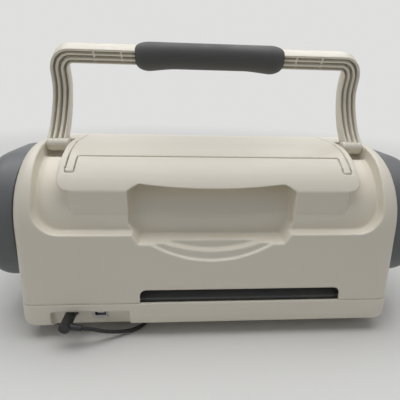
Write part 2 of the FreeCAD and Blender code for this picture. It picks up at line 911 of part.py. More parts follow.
def base_tray():
    outer = tray_block(dim(0), d.foot_height, d.parting_height, soften, d.base_round)
    inner = tray_block(d.wall, d.foot_height + d.wall, d.parting_height + d.wall, bevel, d.base_bevel)
    floor = d.foot_height + d.wall / 2
    port = (d.port_left, d.port_right)
    liner = common(outer, box((port[0] - d.wall, port[1] + d.wall), (d.port_back - d.wall, FAR),
                              (d.foot_height, d.port_top + d.wall)))
    recess = box(port, (d.port_back, FAR), (d.foot_height - d.wall, d.port_top))
    deck_low = d.parting_height - d.deck_thick
    deck = (d.bay_left + d.plate_thick, d.bay_right - d.plate_thick)
    near_roller = d.roller_radius + d.plate_thick
    ribs = []
    for y in (d.deck_front + d.rib_inset, -near_roller - d.rib_inset, near_roller + d.rib_inset,
              d.deck_back - d.rib_inset):
        ribs.append(box(deck, (y - d.wall / 2, y + d.wall / 2), (floor, deck_low)))
    posts = []
    for x in (d.console_left + d.wall, d.console_right - d.wall):
        for y in (d.console_front + d.wall, d.console_front + d.wall + d.console_post_span):
            posts.append(rod("z", floor, d.console_low, d.wall, (x, y)))
    bosses = []
    for x in (BOARD_X[0] + d.wall, BOARD_X[1] - d.wall):
        for y in (BOARD_Y[0] + d.wall, BOARD_Y[1] - d.wall):
            bosses.append(rod("z", floor, d.board_height, d.wall, (x, y)))
    usb = box((d.usb_x - d.usb_wide / 2, d.usb_x + d.usb_wide / 2), (d.port_back - 2 * d.wall, FAR),
              (BOARD_TOP, BOARD_TOP + d.usb_tall))
    jack = rod("y", d.port_back - 2 * d.wall, FAR, d.jack_radius, (d.jack_x, d.jack_height))
    made = fuse(cut(outer, inner), liner, *ribs, *posts, *bosses)
    part(cut(made, recess, usb, jack), "base_tray")
    feet = []
    for x in (d.foot_x, -d.foot_x):
        for y in (d.foot_y, -d.foot_y):
            feet.append(rod("z", 0, d.foot_height, d.foot_radius, (x, y)))
    part(group(*feet), "rubber_feet")


BOARD_X = (d.console_left, d.body_half - 5 * d.wall)
BOARD_BACK = d.port_back - d.wall - d.seam
BOARD_Y = (BOARD_BACK - d.board_deep, BOARD_BACK)
BOARD_TOP = d.board_height + d.board_thick


def cap_outline(inset):
    """The D section drawn in from the housing's edge, with round lower corners."""
    step = inset - d.cap_inset
    low = d.cap_low + step
    top = d.top_height - inset
    corner = d.cap_corner - step
    radius = d.shoulder_radius - inset
    y, z = on_arc(radius, d.side_lean)
    foot = side_y(low, inset)
    half_angle = 45 - d.side_lean / 2
    reach = corner * cosd(half_angle) / sind(half_angle)
    side = (foot - reach * sind(d.side_lean), low + reach * cosd(d.side_lean))
    return [(reach - foot, low), (foot - reach, low, corner), side, (y, z, radius), (d.top_half, top),
            (-d.top_half, top, radius), (-y, z), (-side[0], side[1], corner)]


def end_caps():
    """Hollow pillows on a spigot that leaves a shadow gap to the housing."""
    seat = d.body_half + d.cap_gap
    end = seat + d.cap_rise
    for sign, label in ((1, "end_cap_right"), (-1, "end_cap_left")):

        def block(inset, start, stop):
            low, high = span(sign, start, stop)
            return prism("YZ", low, high, cap_outline(inset))

        def at_end(stop):
            return lambda middle: middle.x * sign > stop.value - NEAR

        outer = soften(block(d.cap_inset, seat, end), d.cap_round, at_end(end))
        spigot = block(d.cap_inset + d.cap_step, d.body_half, seat + d.wall)
        roof = end - d.cap_wall
        hollow = bevel(block(d.cap_inset + d.cap_step + d.cap_wall, d.body_half - d.wall, roof), d.cap_bevel,
                       at_end(roof))
        part(cut(fuse(outer, spigot), hollow), label)


# Feed rollers and their drive

MAT_LOW = d.parting_height + d.mat_lift
ROLLER_Z = MAT_LOW - d.roller_radius
PINCH_Z = MAT_LOW + d.mat_thick + d.pinch_radius
PLATE_LEFT = (d.bay_left - d.plate_thick, d.bay_left)
PLATE_RIGHT = (d.bay_right, d.bay_right + d.plate_thick)
GEAR_RADIUS = d.gear_module * d.gear_teeth / 2
PINION_RADIUS = d.gear_module * d.pinion_teeth / 2
GEAR_X = PLATE_RIGHT[1] + d.plate_thick
PINION_Y = GEAR_RADIUS + PINION_RADIUS
PINCH_WHEELS = 4


# Tooth proportions, in modules: below and above the pitch circle, half widths, and the root's sink
DEDENDUM = 1.15
ADDENDUM = 0.85
FOOT_HALF = 0.95
CREST_HALF = 0.32
ROOT_SINK = 0.4


def toothed(radius, teeth, start, long, at):
    """A spur gear along X: a hub disc with straight-flanked teeth set around it."""
    root_radius = radius - DEDENDUM * d.gear_module
    tip = radius + ADDENDUM * d.gear_module
    count = int(round(teeth.value))
    disc = rod("x", start, start + long, root_radius, at)
    teeth_made = []
    foot = d.gear_module * FOOT_HALF
    crest = d.gear_module * CREST_HALF
    inner = root_radius - d.gear_module * ROOT_SINK
    for index in range(count):
        tooth = prism("YZ", 0, long, [(-foot, inner), (foot, inner), (crest, tip), (-crest, tip)])
        tooth.Placement = Placement(Vector(), Rotation(Vector(1, 0, 0), 360.0 * index / count))
        place(tooth, start, *at)
        teeth_made.append(tooth)
    return fuse(disc, *teeth_made)


def feed():
    left = d.bay_left + d.seam
    right = d.bay_right - d.seam
    thin = d.journal_radius
    out_left = PLATE_LEFT[0] - d.plate_thick
    gear_end = GEAR_X + d.gear_wide
    axis = (dim(0), ROLLER_Z)
    drum = rod("x", left, right, d.roller_radius, axis)
    part(fuse(drum, rod("x", out_left, gear_end, thin, axis)), "feed_roller")
    big = toothed(GEAR_RADIUS, d.gear_teeth, GEAR_X, d.gear_wide, axis)
    part(cut(big, rod("x", GEAR_X - d.wall, gear_end + d.wall, thin, axis)), "roller_gear")
    axis = (dim(0), PINCH_Z)
    wheels = [rod("x", left, right, thin, axis)]
    for index in range(PINCH_WHEELS):
        start = left + (right - left - d.gear_wide) * ((index + 0.5) / PINCH_WHEELS)
        wheels.append(rod("x", start, start + d.gear_wide, d.pinch_radius, axis))
    ends = rod("x", out_left, PLATE_RIGHT[1] + d.plate_thick, d.pin_radius, axis)
    part(fuse(*wheels, ends), "pinch_roller")
    spot = (PINION_Y, ROLLER_Z)
    shaft_end = GEAR_X + d.gear_wide + d.plate_thick
    small = toothed(PINION_RADIUS, d.pinion_teeth, GEAR_X, d.gear_wide, spot)
    part(fuse(small, rod("x", GEAR_X, shaft_end + d.wall, d.motor_shaft, spot)), "feed_pinion")
    can = rod("x", shaft_end, shaft_end + d.motor_long, d.motor_half, spot)
    hole = rod("x", shaft_end - d.wall, shaft_end + d.wall + d.seam, d.motor_shaft + d.running_fit, spot)
    saddle = box((shaft_end, shaft_end + d.motor_long), (PINION_Y - d.motor_shaft * 2,
                 PINION_Y + d.motor_shaft * 2), (d.foot_height + d.wall, ROLLER_Z - d.motor_half / 2))
    part(cut(fuse(can, saddle), hole), "feed_motor")


def deck():
    x = (d.bay_left + d.plate_thick, d.bay_right - d.plate_thick)
    low = d.parting_height - d.deck_thick
    plate = box(x, (d.deck_front, d.deck_back), (low, d.parting_height))
    room = d.roller_radius + d.plate_thick
    slot = box((x[0] - d.wall, x[1] + d.wall), (-room, room), (low - d.wall, d.parting_height + d.wall))
    part(group(cut(plate, slot)), "mat_deck")


def side_plates():
    """Steel side plates that carry the rollers, the rail and the guide shaft."""
    for span_x, label in ((PLATE_LEFT, "side_plate_left"), (PLATE_RIGHT, "side_plate_right")):
        soft = d.wall * 4
        outline = [(-d.plate_half, d.foot_height + d.wall), (d.plate_half, d.foot_height + d.wall),
                   (d.plate_half, d.plate_top - soft, soft), (d.plate_half - soft, d.plate_top),
                   (soft - d.plate_half, d.plate_top, soft), (-d.plate_half, d.plate_top - soft)]
        plate = prism("YZ", span_x[0], span_x[1], outline)
        holes = []
        for radius, y, z in ((d.journal_radius + d.running_fit, 0, ROLLER_Z),
                             (d.pin_radius + d.running_fit, 0, PINCH_Z),
                             (d.shaft_radius, d.shaft_y, d.shaft_height)):
            holes.append(rod("x", span_x[0] - d.wall, span_x[1] + d.wall, radius, (y, z)))
        if span_x is PLATE_RIGHT:
            shelf = box((PULLEY_RIGHT - d.motor_half, span_x[1]),
                        (RAIL_Y - d.motor_half, RAIL_Y + d.motor_half),
                        (d.plate_top - d.plate_thick, d.plate_top))
            plate = fuse(plate, shelf)
            holes.append(rod("z", d.plate_top - d.wall * 2, d.plate_top + d.wall, d.motor_shaft * 2,
                             (PULLEY_RIGHT, RAIL_Y)))
        part(cut(plate, *holes), label)


# Carriage, rail and belt

RAIL_Y = (d.rail_front + d.rail_back) / 2
PULLEY_LEFT = d.bay_left + d.pulley_inset
PULLEY_RIGHT = d.bay_right - d.pulley_inset - d.plate_thick
PULLEY_Z = d.rail_high + d.wall + d.seam
BELT_LOW = PULLEY_Z + d.belt_rise
CARRIAGE_X = (d.carriage_left, d.carriage_left + d.carriage_wide)
HOLDER_X = d.carriage_left + d.carriage_wide / 2


def rail():
    x = (d.bay_left, d.bay_right)
    bar = box(x, (d.rail_front, d.rail_back), (d.rail_low, d.rail_high))
    groove = box((x[0] - d.wall, x[1] + d.wall), (d.rail_front + d.wall, d.rail_back + d.wall),
                 (d.rail_low + d.wall, d.rail_high - d.wall))
    post = rod("z", d.rail_high - d.wall / 2, PULLEY_Z + d.pulley_tall, d.motor_shaft, (PULLEY_LEFT, RAIL_Y))
    part(fuse(cut(bar, groove), post), "carriage_rail")
    part(rod("x", PLATE_LEFT[0], PLATE_RIGHT[1], d.shaft_radius, (d.shaft_y, d.shaft_height)), "guide_shaft")


def belt():
    """A loop around both pulleys with a small gap to their rims."""

    def loop(radius, low, high):
        return fuse(box((PULLEY_LEFT, PULLEY_RIGHT), (RAIL_Y - radius, RAIL_Y + radius), (low, high)),
                    rod("z", low, high, radius, (PULLEY_LEFT, RAIL_Y)),
                    rod("z", low, high, radius, (PULLEY_RIGHT, RAIL_Y)))

    inner = d.pulley_radius + d.running_fit
    high = BELT_LOW + d.belt_tall
    part(cut(loop(inner + d.belt_thick, BELT_LOW, high), loop(inner, BELT_LOW - d.wall, high + d.wall)),
         "drive_belt")

    def pulley(x, label, bore):
        spot = (x, RAIL_Y)
        wheel = rod("z", PULLEY_Z, PULLEY_Z + d.pulley_tall, d.pulley_radius, spot)
        if bore is None:
            stem = rod("z", PULLEY_Z, d.plate_top + d.wall * 2, d.motor_shaft, spot)
            part(fuse(wheel, stem), label)
        else:
            hole = rod("z", PULLEY_Z - d.wall, PULLEY_Z + d.pulley_tall + d.wall, bore, spot)
            part(cut(wheel, hole), label)

    pulley(PULLEY_RIGHT, "drive_pulley", None)
    pulley(PULLEY_LEFT, "idler_pulley", d.motor_shaft + d.running_fit)
    spot = (PULLEY_RIGHT, RAIL_Y)
    half = d.motor_half
    case = box((spot[0] - half, spot[0] + half), (spot[1] - half, spot[1] + half),
               (d.plate_top, d.plate_top + d.motor_long))
    hole = rod("z", d.plate_top - d.wall, d.plate_top + d.wall * 2 + d.seam,
               d.motor_shaft + d.running_fit, spot)
    part(cut(case, hole), "carriage_motor")


def carriage():
    gap = d.button_gap
    front = d.holder_y - d.holder_radius - d.wall
    back = d.shaft_y + d.shaft_radius + d.wall
    low = d.shaft_height - d.shaft_radius - 2 * d.wall
    high = d.rail_high + d.wall
    block = box(CARRIAGE_X, (front, back), (low, high))
    shoe = box(CARRIAGE_X, (back - d.wall, d.rail_back + gap + d.wall), (d.rail_high + gap, high))
    lip = box(CARRIAGE_X, (d.rail_back + gap, d.rail_back + gap + d.wall), (d.rail_high - d.wall, high))
    lug_x = (HOLDER_X - d.holder_radius, HOLDER_X + d.holder_radius)
    run = RAIL_Y - d.pulley_radius - d.running_fit
    lug = box(lug_x, (run - d.belt_thick - gap - d.wall, run + gap + d.wall),
              (high - d.wall / 2, BELT_LOW + d.belt_tall))
    belt_room = box((CARRIAGE_X[0] - d.wall, CARRIAGE_X[1] + d.wall), (run - d.belt_thick - gap, run + gap),
                    (BELT_LOW - gap, PULLEY_Z + 2 * d.belt_tall))
    shaft_hole = rod("x", CARRIAGE_X[0] - d.wall, CARRIAGE_X[1] + d.wall, d.shaft_radius + d.running_fit,
                     (d.shaft_y, d.shaft_height))
    spot = (HOLDER_X, d.holder_y)
    holder_hole = rod("z", low - d.wall, high + d.wall, d.holder_radius + d.running_fit, spot)
    part(cut(fuse(block, shoe, lip, lug), belt_room, shaft_hole, holder_hole), "carriage")
    sleeve = rod("z", d.blade_tip + d.wall * 2, high + d.wall * 4, d.holder_radius, spot)
    collar = rod("z", high + d.wall, high + d.wall * 4, d.holder_radius + d.wall, spot)
    bore = rod("z", d.blade_tip, high + d.wall * 5, d.blade_radius * 2, spot)
    part(cut(fuse(sleeve, collar), bore), "blade_holder")
    shank = rod("z", d.blade_tip + d.wall, high + d.wall * 4, d.blade_radius * 2, spot)
    point = doc.addObject("Part::Cone", fresh("Point"))
    bind(point, "Radius1", d.blade_radius / 4)
    bind(point, "Radius2", d.blade_radius)
    bind(point, "Height", d.wall)
    place(point, spot[0], spot[1], d.blade_tip)
    part(fuse(shank, point), "cutting_blade")


# Control console

RUN_Y = d.console_top_y - d.console_front
RUN_Z = d.console_top - d.console_lip
FACE_LONG = root(RUN_Y * RUN_Y + RUN_Z * RUN_Z)
FACE_ANGLE = Dim(math.degrees(math.atan2(RUN_Y.value, RUN_Z.value)),
                 "(atan2(" + RUN_Y.text + "; " + RUN_Z.text + ") / 1 deg)")


def on_face(x, up):
    """A spot on the console's slanted face, some way up it."""
    share = up / FACE_LONG
    return slanted(x, d.console_front + RUN_Y * share, d.console_lip + RUN_Z * share, FACE_ANGLE)


def slab(spot, wide, tall, low, high):
    """A flat plate on a slanted face, centred on a spot."""
    item = doc.addObject("Part::Box", fresh("Slab"))
    item.Placement = Placement(Vector(), Rotation(Vector(1, 0, 0), 90 - spot.angle.value))
    bind(item, "Length", wide)
    bind(item, "Width", tall)
    bind(item, "Height", dim(high) - dim(low))
    lift = dim(low)
    drop = dim(tall) / 2
    place(item, spot.x - dim(wide) / 2, spot.y - lift * cosd(spot.angle) - drop * sind(spot.angle),
          spot.z + lift * sind(spot.angle) - drop * cosd(spot.angle))
    return item


CONSOLE_MID = (d.console_left + d.console_right) / 2
BUTTONS = {
    label: on_face(CONSOLE_MID + d.button_pitch * (index - 1.5), d.button_up)
    for index, label in enumerate(("load_button", "unload_button", "stop_button", "cut_button"))
}
BUTTONS["power_button"] = on_face(CONSOLE_MID + d.power_shift, d.display_up)
DIALS = {
    label: on_face(CONSOLE_MID + d.dial_pitch * (index - 1), d.dial_up)
    for index, label in enumerate(("size_dial", "pressure_dial", "speed_dial"))
}
KEY_COLUMNS = 8
KEY_ROWS = 4


def console():
    thick = d.console_wall
    x = (d.console_left, d.console_right)
    outline = [(d.console_front, d.console_low), (d.console_back, d.console_low),
               (d.console_back, d.console_top), (d.console_top_y, d.console_top),
               (d.console_front, d.console_lip)]
    outer = prism("YZ", x[0], x[1], outline)
    step = thick / cosd(FACE_ANGLE)
    inner = prism("YZ", x[0] + thick, x[1] - thick, [
        (d.console_front + thick, d.console_low - thick), (d.console_back + thick, d.console_low - thick),
        (d.console_back + thick, d.console_top - thick),
        (d.console_top_y + step - thick, d.console_top - thick),
        (d.console_front + thick, d.console_lip - (step - thick) * RUN_Z / RUN_Y)])
    half = d.cartridge_wide / 2
    z = (d.cartridge_low, d.cartridge_low + d.cartridge_tall)
    mouth = box((CONSOLE_MID - half, CONSOLE_MID + half),
                (d.console_front - thick, d.console_front + 2 * thick), z)
    holes = [button_hole(spot, d.button_radius) for spot in BUTTONS.values()]
    holes += [stud(spot, -4 * d.wall, d.wall, d.journal_radius + d.running_fit) for spot in DIALS.values()]
    part(cut(outer, inner, mouth, *holes), "control_console")
    socket = box((CONSOLE_MID - half - thick, CONSOLE_MID + half + thick),
                 (d.console_front + thick, d.console_front + 2 * thick + d.cartridge_deep),
                 (z[0] - thick, z[1] + thick))
    room = box((CONSOLE_MID - half, CONSOLE_MID + half),
               (d.console_front, d.console_front + thick + d.cartridge_deep), z)
    part(cut(socket, room), "cartridge_socket")
    for label, spot in BUTTONS.items():
        part(button(spot, d.button_radius, thick), label)
    for label, spot in DIALS.items():
        knob = stud(spot, d.seam, d.dial_tall, d.dial_radius)
        part(fuse(knob, stud(spot, -2 * d.wall, d.seam * 2, d.journal_radius)), label)
    keys = [slab(on_face(CONSOLE_MID, d.keypad_up), d.keypad_wide, d.keypad_tall, 0, d.key_sheet)]
    for column in range(KEY_COLUMNS):
        for row in range(KEY_ROWS):
            x_key = CONSOLE_MID + d.keypad_wide * ((column + 0.5) / KEY_COLUMNS - 0.5)
            up = d.keypad_up + d.keypad_tall * ((row + 0.5) / KEY_ROWS - 0.5)
            keys.append(slab(on_face(x_key, up), d.key_wide, d.key_deep, d.key_sheet / 2,
                             d.key_sheet + d.key_tall))
    part(fuse(*keys), "keypad")
    window = on_face(CONSOLE_MID - d.display_shift, d.display_up)
    part(slab(window, d.display_wide, d.display_tall, 0, d.key_sheet), "display_window")
    sag = d.release_radius * d.release_radius / d.shoulder_radius
    part(button(RELEASE, d.release_radius, d.wall + sag), "release_button")


# Main board and sockets

def electrics():
    plate = box(BOARD_X, BOARD_Y, (d.board_height, BOARD_TOP))
    side = d.chip_side
    low = BOARD_TOP - d.board_thick / 2
    chip = box((BOARD_X[0] + side, BOARD_X[0] + 2 * side), (BOARD_Y[0] + side / 2, BOARD_Y[0] + side * 3 / 2),
               (low, BOARD_TOP + d.chip_tall))
    capacitor = rod("z", low, BOARD_TOP + d.capacitor_tall, d.capacitor_radius,
                    (BOARD_X[0] + 3 * side, BOARD_Y[0] + side / 2))
    part(fuse(plate, chip, capacitor), "main_board")
    half = d.usb_wide / 2
    wall = d.socket_wall
    front = d.port_back - d.socket_deep
    roof = BOARD_TOP + d.usb_tall
    middle = (BOARD_TOP + roof) / 2
    case = box((d.usb_x - half, d.usb_x + half), (front, d.port_back), (BOARD_TOP, roof))
    room = box((d.usb_x - half + wall, d.usb_x + half - wall), (front + 2 * wall, d.port_back + wall),
               (BOARD_TOP + wall, roof - wall))
    tongue = box((d.usb_x - half / 2, d.usb_x + half / 2), (front + wall, d.port_back - wall),
                 (middle - d.tongue_half, middle + d.tongue_half))
    part(fuse(cut(case, room), tongue), "usb_socket")
    spot = (d.jack_x, d.jack_height)
    barrel = rod("y", front, d.port_back, d.jack_radius, spot)
    foot = box((d.jack_x - d.jack_radius, d.jack_x + d.jack_radius), (front, d.port_back - d.wall),
               (BOARD_TOP, d.jack_height))
    hole = rod("y", front + wall, d.port_back + wall, d.plug_tip + d.running_fit, spot)
    part(cut(fuse(barrel, foot), hole), "dc_jack")


# Cord: the plug in the jack, the free run under the machine, the tied coil and the adapter

PLUG_BACK = d.port_back + d.plug_long
ROUTE = [
    (118.0, 114.0, 21.0), (110.0, 112.0, 18.0), (101.0, 109.6, 13.0), (93.0, 106.0, 8.5),
    (84.0, 102.0, 4.6), (74.0, 97.5, 2.4), (65.0, 90.0, 2.0), (59.0, 77.0, 2.0), (60.0, 58.0, 2.0),
    (70.0, 34.0, 2.0), (90.0, 6.0, 2.0), (118.0, -20.0, 2.0), (150.0, -36.0, 2.0), (184.0, -42.0, 2.0),
    (211.0, -47.0, 3.0), (226.0, -49.0, 4.5),
]


def tube(points, radius):
    """A swept tube on straight runs joined by tangent arcs, each as large as its runs allow."""
    points = [Vector(*point) for point in points]
    edges = []
    last = points[0]
    for before, here, after in zip(points, points[1:], points[2:]):
        back = before - here
        ahead = after - here
        shorter = min(back.Length, ahead.Length)
        turn = math.pi - back.getAngle(ahead)
        reach = 0.45 * shorter
        print("cord radius", round(reach / math.tan(turn / 2), 1))
        back.normalize()
        ahead.normalize()
        start = here + back * reach
        end = here + ahead * reach
        bisector = back + ahead
        bisector.normalize()
        bend = reach / math.tan(turn / 2)
        middle = here + bisector * (bend / math.cos(turn / 2) - bend)
        edges.append(Part.LineSegment(last, start).toShape())
        edges.append(Part.Arc(start, middle, end).toShape())
        last = end
    edges.append(Part.LineSegment(last, points[-1]).toShape())
    spine = Part.Wire(edges)
    first = points[1] - points[0]
    ring = Part.Wire([Part.Circle(points[0], first, radius).toShape()])
    swept = spine.makePipeShell([ring], True, False)
    length = sum(edge.Length for edge in edges)
    print("cord length", round(length, 1), "volume share",
          round(swept.Volume / (math.pi * radius * radius * length), 4))
    return swept


def cord():
    spot = (d.jack_x, d.jack_height)
    tip = rod("y", d.port_back - d.socket_deep / 2, d.port_back + d.wall, d.plug_tip, spot)
    barrel = rod("y", d.port_back, PLUG_BACK, d.plug_radius, spot)
    start = Vector(*ROUTE[0])
    neck = Vector(d.jack_x.value, start.y, d.jack_height.value)
    relief = doc.addObject("Part::Feature", "Relief")
    way = start - neck
    relief.Shape = Part.makeCone(d.relief_thick.value, d.relief_thin.value, way.Length, neck, way)
    part(fuse(barrel, tip, relief), "dc_plug")
    run = doc.addObject("Part::Feature", "CordRun")
    run.Shape = tube(ROUTE, d.cord_radius.value)
    part(run, "power_cord")
    half = d.coil_section
    soft = half - d.coil_bevel
    near = d.coil_radius - half
    out = d.coil_radius + half
    middle = half + d.coil_lift
    ring = [(near, soft), (near, -soft), (near + d.coil_bevel, -half), (out - d.coil_bevel, -half),
            (out, -soft), (out, soft), (out - d.coil_bevel, half), (near + d.coil_bevel, half)]
    part(spin(ring, "V_Axis", (d.coil_x, d.coil_y, middle)), "cord_coil")
    tie_x = d.coil_x - d.coil_radius

    def strap(size):
        return box((tie_x - size, tie_x + size), (d.coil_y - d.wall, d.coil_y + d.wall),
                   (middle - size, middle + size))

    inside = half + d.tie_gap
    part(cut(strap(inside + d.tie_thick), strap(inside)), "cord_tie")
    face = d.coil_y - d.coil_radius - d.coil_section - d.adapter_gap
    tail_x = d.coil_x + d.coil_radius
    relief_end = face + d.adapter_relief
    part(rod("y", relief_end, d.coil_y - d.coil_section, d.cord_radius, (tail_x, middle)), "cord_tail")
    x = (d.coil_x - d.adapter_long / 2, d.coil_x + d.adapter_long / 2)
    y = (face - d.adapter_wide, face)
    case = prism("XY", 0, d.adapter_tall, [(x[0], y[0]), (x[1], y[0]), (x[1], y[1]), (x[0], y[1])])
    case = soften(case, d.wall, lambda middle: middle.z > NEAR)
    sleeve = rod("y", face - d.wall, relief_end, d.adapter_sleeve, (tail_x, middle))
    blades = []
    for shift in (-d.blade_pitch / 2, d.blade_pitch / 2):
        blade_x = d.coil_x + shift
        blade_y = (y[0] + y[1]) / 2
        blades.append(box((blade_x - d.blade_thick / 2, blade_x + d.blade_thick / 2),
                          (blade_y - d.blade_wide / 2, blade_y + d.blade_wide / 2),
                          (d.adapter_tall - d.wall, d.adapter_tall + d.blade_long)))
    part(fuse(case, sleeve, *blades), "power_adapter")


def export():
    doc.recompute()
    faults = []
    for item in doc.Objects:
        if "Invalid" in item.State or "Error" in item.State:
            faults.append(item.Name + " " + item.Label)
    for item in PARTS:
        if item.Shape.isNull() or not item.Shape.isValid() or not item.Shape.Solids:
            faults.append("bad shape " + item.Label)
    if faults:
        raise RuntimeError("; ".join(faults))
    os.makedirs("parts", exist_ok=True)
    for item in PARTS:
        item.Shape.exportStep("parts/" + item.Label + ".step")
        print(item.Label, len(item.Shape.Solids), "solids", round(item.Shape.Volume / 1000, 1), "cm3")


handle()
rear_shell()
lid()
front()
base_tray()
end_caps()
feed()
deck()
side_plates()
rail()
belt()
carriage()
console()
electrics()
cord()
export()
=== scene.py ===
import json
import math

import bmesh
import bpy
from bpy.props import FloatProperty, FloatVectorProperty, IntProperty, PointerProperty
from bpy.types import Operator, Panel, PropertyGroup
from mathutils import Matrix, Vector

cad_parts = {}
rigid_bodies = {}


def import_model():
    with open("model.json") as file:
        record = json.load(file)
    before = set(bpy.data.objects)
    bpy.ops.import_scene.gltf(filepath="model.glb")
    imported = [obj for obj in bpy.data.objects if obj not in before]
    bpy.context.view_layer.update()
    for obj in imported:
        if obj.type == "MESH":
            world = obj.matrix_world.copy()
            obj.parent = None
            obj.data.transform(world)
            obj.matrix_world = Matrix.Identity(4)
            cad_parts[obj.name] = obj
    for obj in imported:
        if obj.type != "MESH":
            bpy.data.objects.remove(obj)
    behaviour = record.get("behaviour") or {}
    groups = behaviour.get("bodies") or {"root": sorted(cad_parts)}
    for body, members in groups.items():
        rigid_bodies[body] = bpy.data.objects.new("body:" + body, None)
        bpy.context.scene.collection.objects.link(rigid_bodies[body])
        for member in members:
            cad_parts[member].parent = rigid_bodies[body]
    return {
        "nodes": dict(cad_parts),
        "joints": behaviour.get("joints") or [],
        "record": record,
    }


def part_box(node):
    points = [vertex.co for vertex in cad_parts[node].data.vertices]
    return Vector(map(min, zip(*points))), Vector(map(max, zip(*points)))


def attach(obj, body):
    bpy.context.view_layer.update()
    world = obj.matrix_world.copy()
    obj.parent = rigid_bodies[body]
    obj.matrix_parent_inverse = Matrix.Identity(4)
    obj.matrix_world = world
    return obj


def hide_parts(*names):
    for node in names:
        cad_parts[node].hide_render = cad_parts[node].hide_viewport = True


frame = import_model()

bl_info = {
    "name": "Die Cutting Machine",
    "version": (1, 0, 0),
    "blender": (4, 5, 0),
    "location": "View3D > Sidebar > Die Cutter",
    "description": "Dresses the die cutting machine with its finishes, grip, controls, works and cord",
    "category": "Object",
}

RECORD = frame["record"]
NODES = frame["nodes"]
JOINTS = {joint["name"]: joint for joint in frame["joints"]}
SLOT_COLOURS = {entry["slot"]: entry["base_color"] for entry in RECORD["materials"]}
NODE_SLOTS = {entry["node"]: entry["material_slot"] for entry in RECORD["subparts"]}
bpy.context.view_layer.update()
MM = 0.001
FULL_TURN = 2.0 * math.pi
HOUSING = "housing"

# The body that each softened shell rides on.
SOFT_SHELLS = {"rear_shell": HOUSING, "top_lid": "lid", "front_door": "door", "front_frame_right": HOUSING,
               "front_frame_left": HOUSING, "base_tray": HOUSING, "end_cap_right": HOUSING,
               "end_cap_left": HOUSING}
# The most triangles that a softened skin keeps, and how it is merged and evened.
SKIN_LIMIT = 180000
MERGE_REACH = 2e-6
SMOOTH_SHARE = 0.5
SMOOTH_PASSES = 4
FINE_VOXEL = 0.5 * MM
CONSOLE_VOXEL = 0.6 * MM
# Angles in degrees past which an edge between two faces is drawn sharp.
SHARP_EDGE = 38.0
HANDLE_EDGE = 42.0
ALL_SMOOTH = 180.0
# Centre of the housing's round shoulder: Y and Z in millimetres.
SHOULDER = (18.0, 98.0)
# Where the grip pocket is drawn in and its upper edge hangs: X, Y and Z ranges in millimetres.
POCKET_REAR = 35.0
POCKET_SIDE = (57.0, 75.0)
POCKET_FADE = (92.0, 122.0)
POCKET_CLIMB = (56.0, 91.0)
NOTCH_HALF = 64.0
NOTCH_RISE = (128.0, 143.0)
NOTCH_FALL = (147.0, 162.0)
# Where the base's ends begin to stand out and where they are full, in metres.
BASE_END = (0.14, 0.165)
# The handle: its channels as shares of its width, the webs of its bar, its eyes and its steps.
HANDLE_CHANNELS = ((0.15, 0.30), (0.44, 0.61), (0.77, 0.91))
CHANNEL_DRAFT = 0.015
WEB_PLACES = (86.0, 112.0)
WEB_THICK = 2.0 * MM
WEB_DEEP = 9.0 * MM
WEB_INSET = 1.6 * MM
WEB_DEPTH_PLACE = 0.0877
EYE_RADIUS = 6.0 * MM
EYE_CHAMFER = 0.8 * MM
FLARE_EASE = 0.18
FOOT_TURN = (0.45, 0.9)
ROUND_STEPS = 3
ARM_STEPS = 40
CORNER_STEPS = 15
BAR_STEPS = 24
# The grip: where it swells, and how finely it is divided along and round.
GRIP_SWELL = (0.45, 0.95)
GRIP_STATIONS = 72
GRIP_STEPS = 56
# Base: radius of a foot and places of the screws.
FOOT_RADIUS = 9.0 * MM
BASE_SCREW_PLACES = (122.0 * MM, 58.0 * MM)
# Controls: heights and thicknesses on the console's sloping face.
DIAL_TALL = 7.0 * MM
DIAL_GAP = 0.45 * MM
MARKS_START = math.radians(-45.0)
MARKS_SWEEP = math.radians(270.0)
SYMBOL_REACH = 0.42
SYMBOL_RISE = 0.25 * MM
DISC_STEPS = 20
KEYPAD_THICK = 2.0 * MM
KEYPAD_BASE = 0.6
KEY_SHARES = (0.72, 0.66)
KEY_SINK = 0.4 * MM
KEY_SPREAD = 0.99
# Works: distances of the screws from the edges of what they hold.
CARRIAGE_SCREW_EDGE = 5.0 * MM
CARRIAGE_SCREW_TOP = 30.0 * MM
MOTOR_SCREW_EDGE = 4.5 * MM
SMALL_HEAD = 0.75
BUTTONS = ("load_button", "unload_button", "stop_button", "cut_button", "power_button")
DIALS = ("size_dial", "pressure_dial", "speed_dial")
# The lead from its plug to the coil, in millimetres.
CORD_ROUTE = ((118, 114, 21), (110, 112, 18), (101, 109.6, 13), (93, 106, 8.5), (84, 102, 4.6),
              (74, 97.5, 2.4), (65, 90, 2), (59, 77, 2), (60, 58, 2), (70, 34, 2), (90, 6, 2),
              (118, -20, 2), (150, -36, 2), (184, -42, 2), (206, -44, 2.6))
# The coil: its cells in cross-section, its turns, and how quickly a turn crosses to the next cell.
COIL_CELLS = ((1, -1), (0, -1), (-1, -1), (-1, 0), (-1, 1), (0, 1), (1, 1), (1, 0), (0, 0))
COIL_TURNS = 9.25
COIL_START = 0.25
CELL_CROSSING = 2.5
TAIL_SHARES = (0.35, 0.7, 1.0)
# Lamps of the stage: name, place, aim, size and the setting that holds the power.
LAMPS = (("overhead_light", (0.02, -0.2, 1.35), (0.0, -0.05, 0.1), (1.9, 1.3), "key_power"),
         ("side_light", (0.9, 1.0, 0.9), (0.0, 0.0, 0.1), (0.8, 0.8), "front_power"))
FLOOR_REACH = 9.0
FLOOR_FADE = (0.45, 1.5)
FILL_COLOUR = (1.0, 0.995, 0.98, 1.0)
# Looks that the finishes share.
NOISE_GAIN = 2.2
GLOSS_DRIFT = 0.07
SPECK_REACH = 0.028
SPECK_RARE = 0.83
SPECK_DARK = 0.55
SPECK_COLOUR = (0.16, 0.13, 0.1, 1.0)
PAD_COLOUR = (0.72, 0.6, 0.32, 1.0)


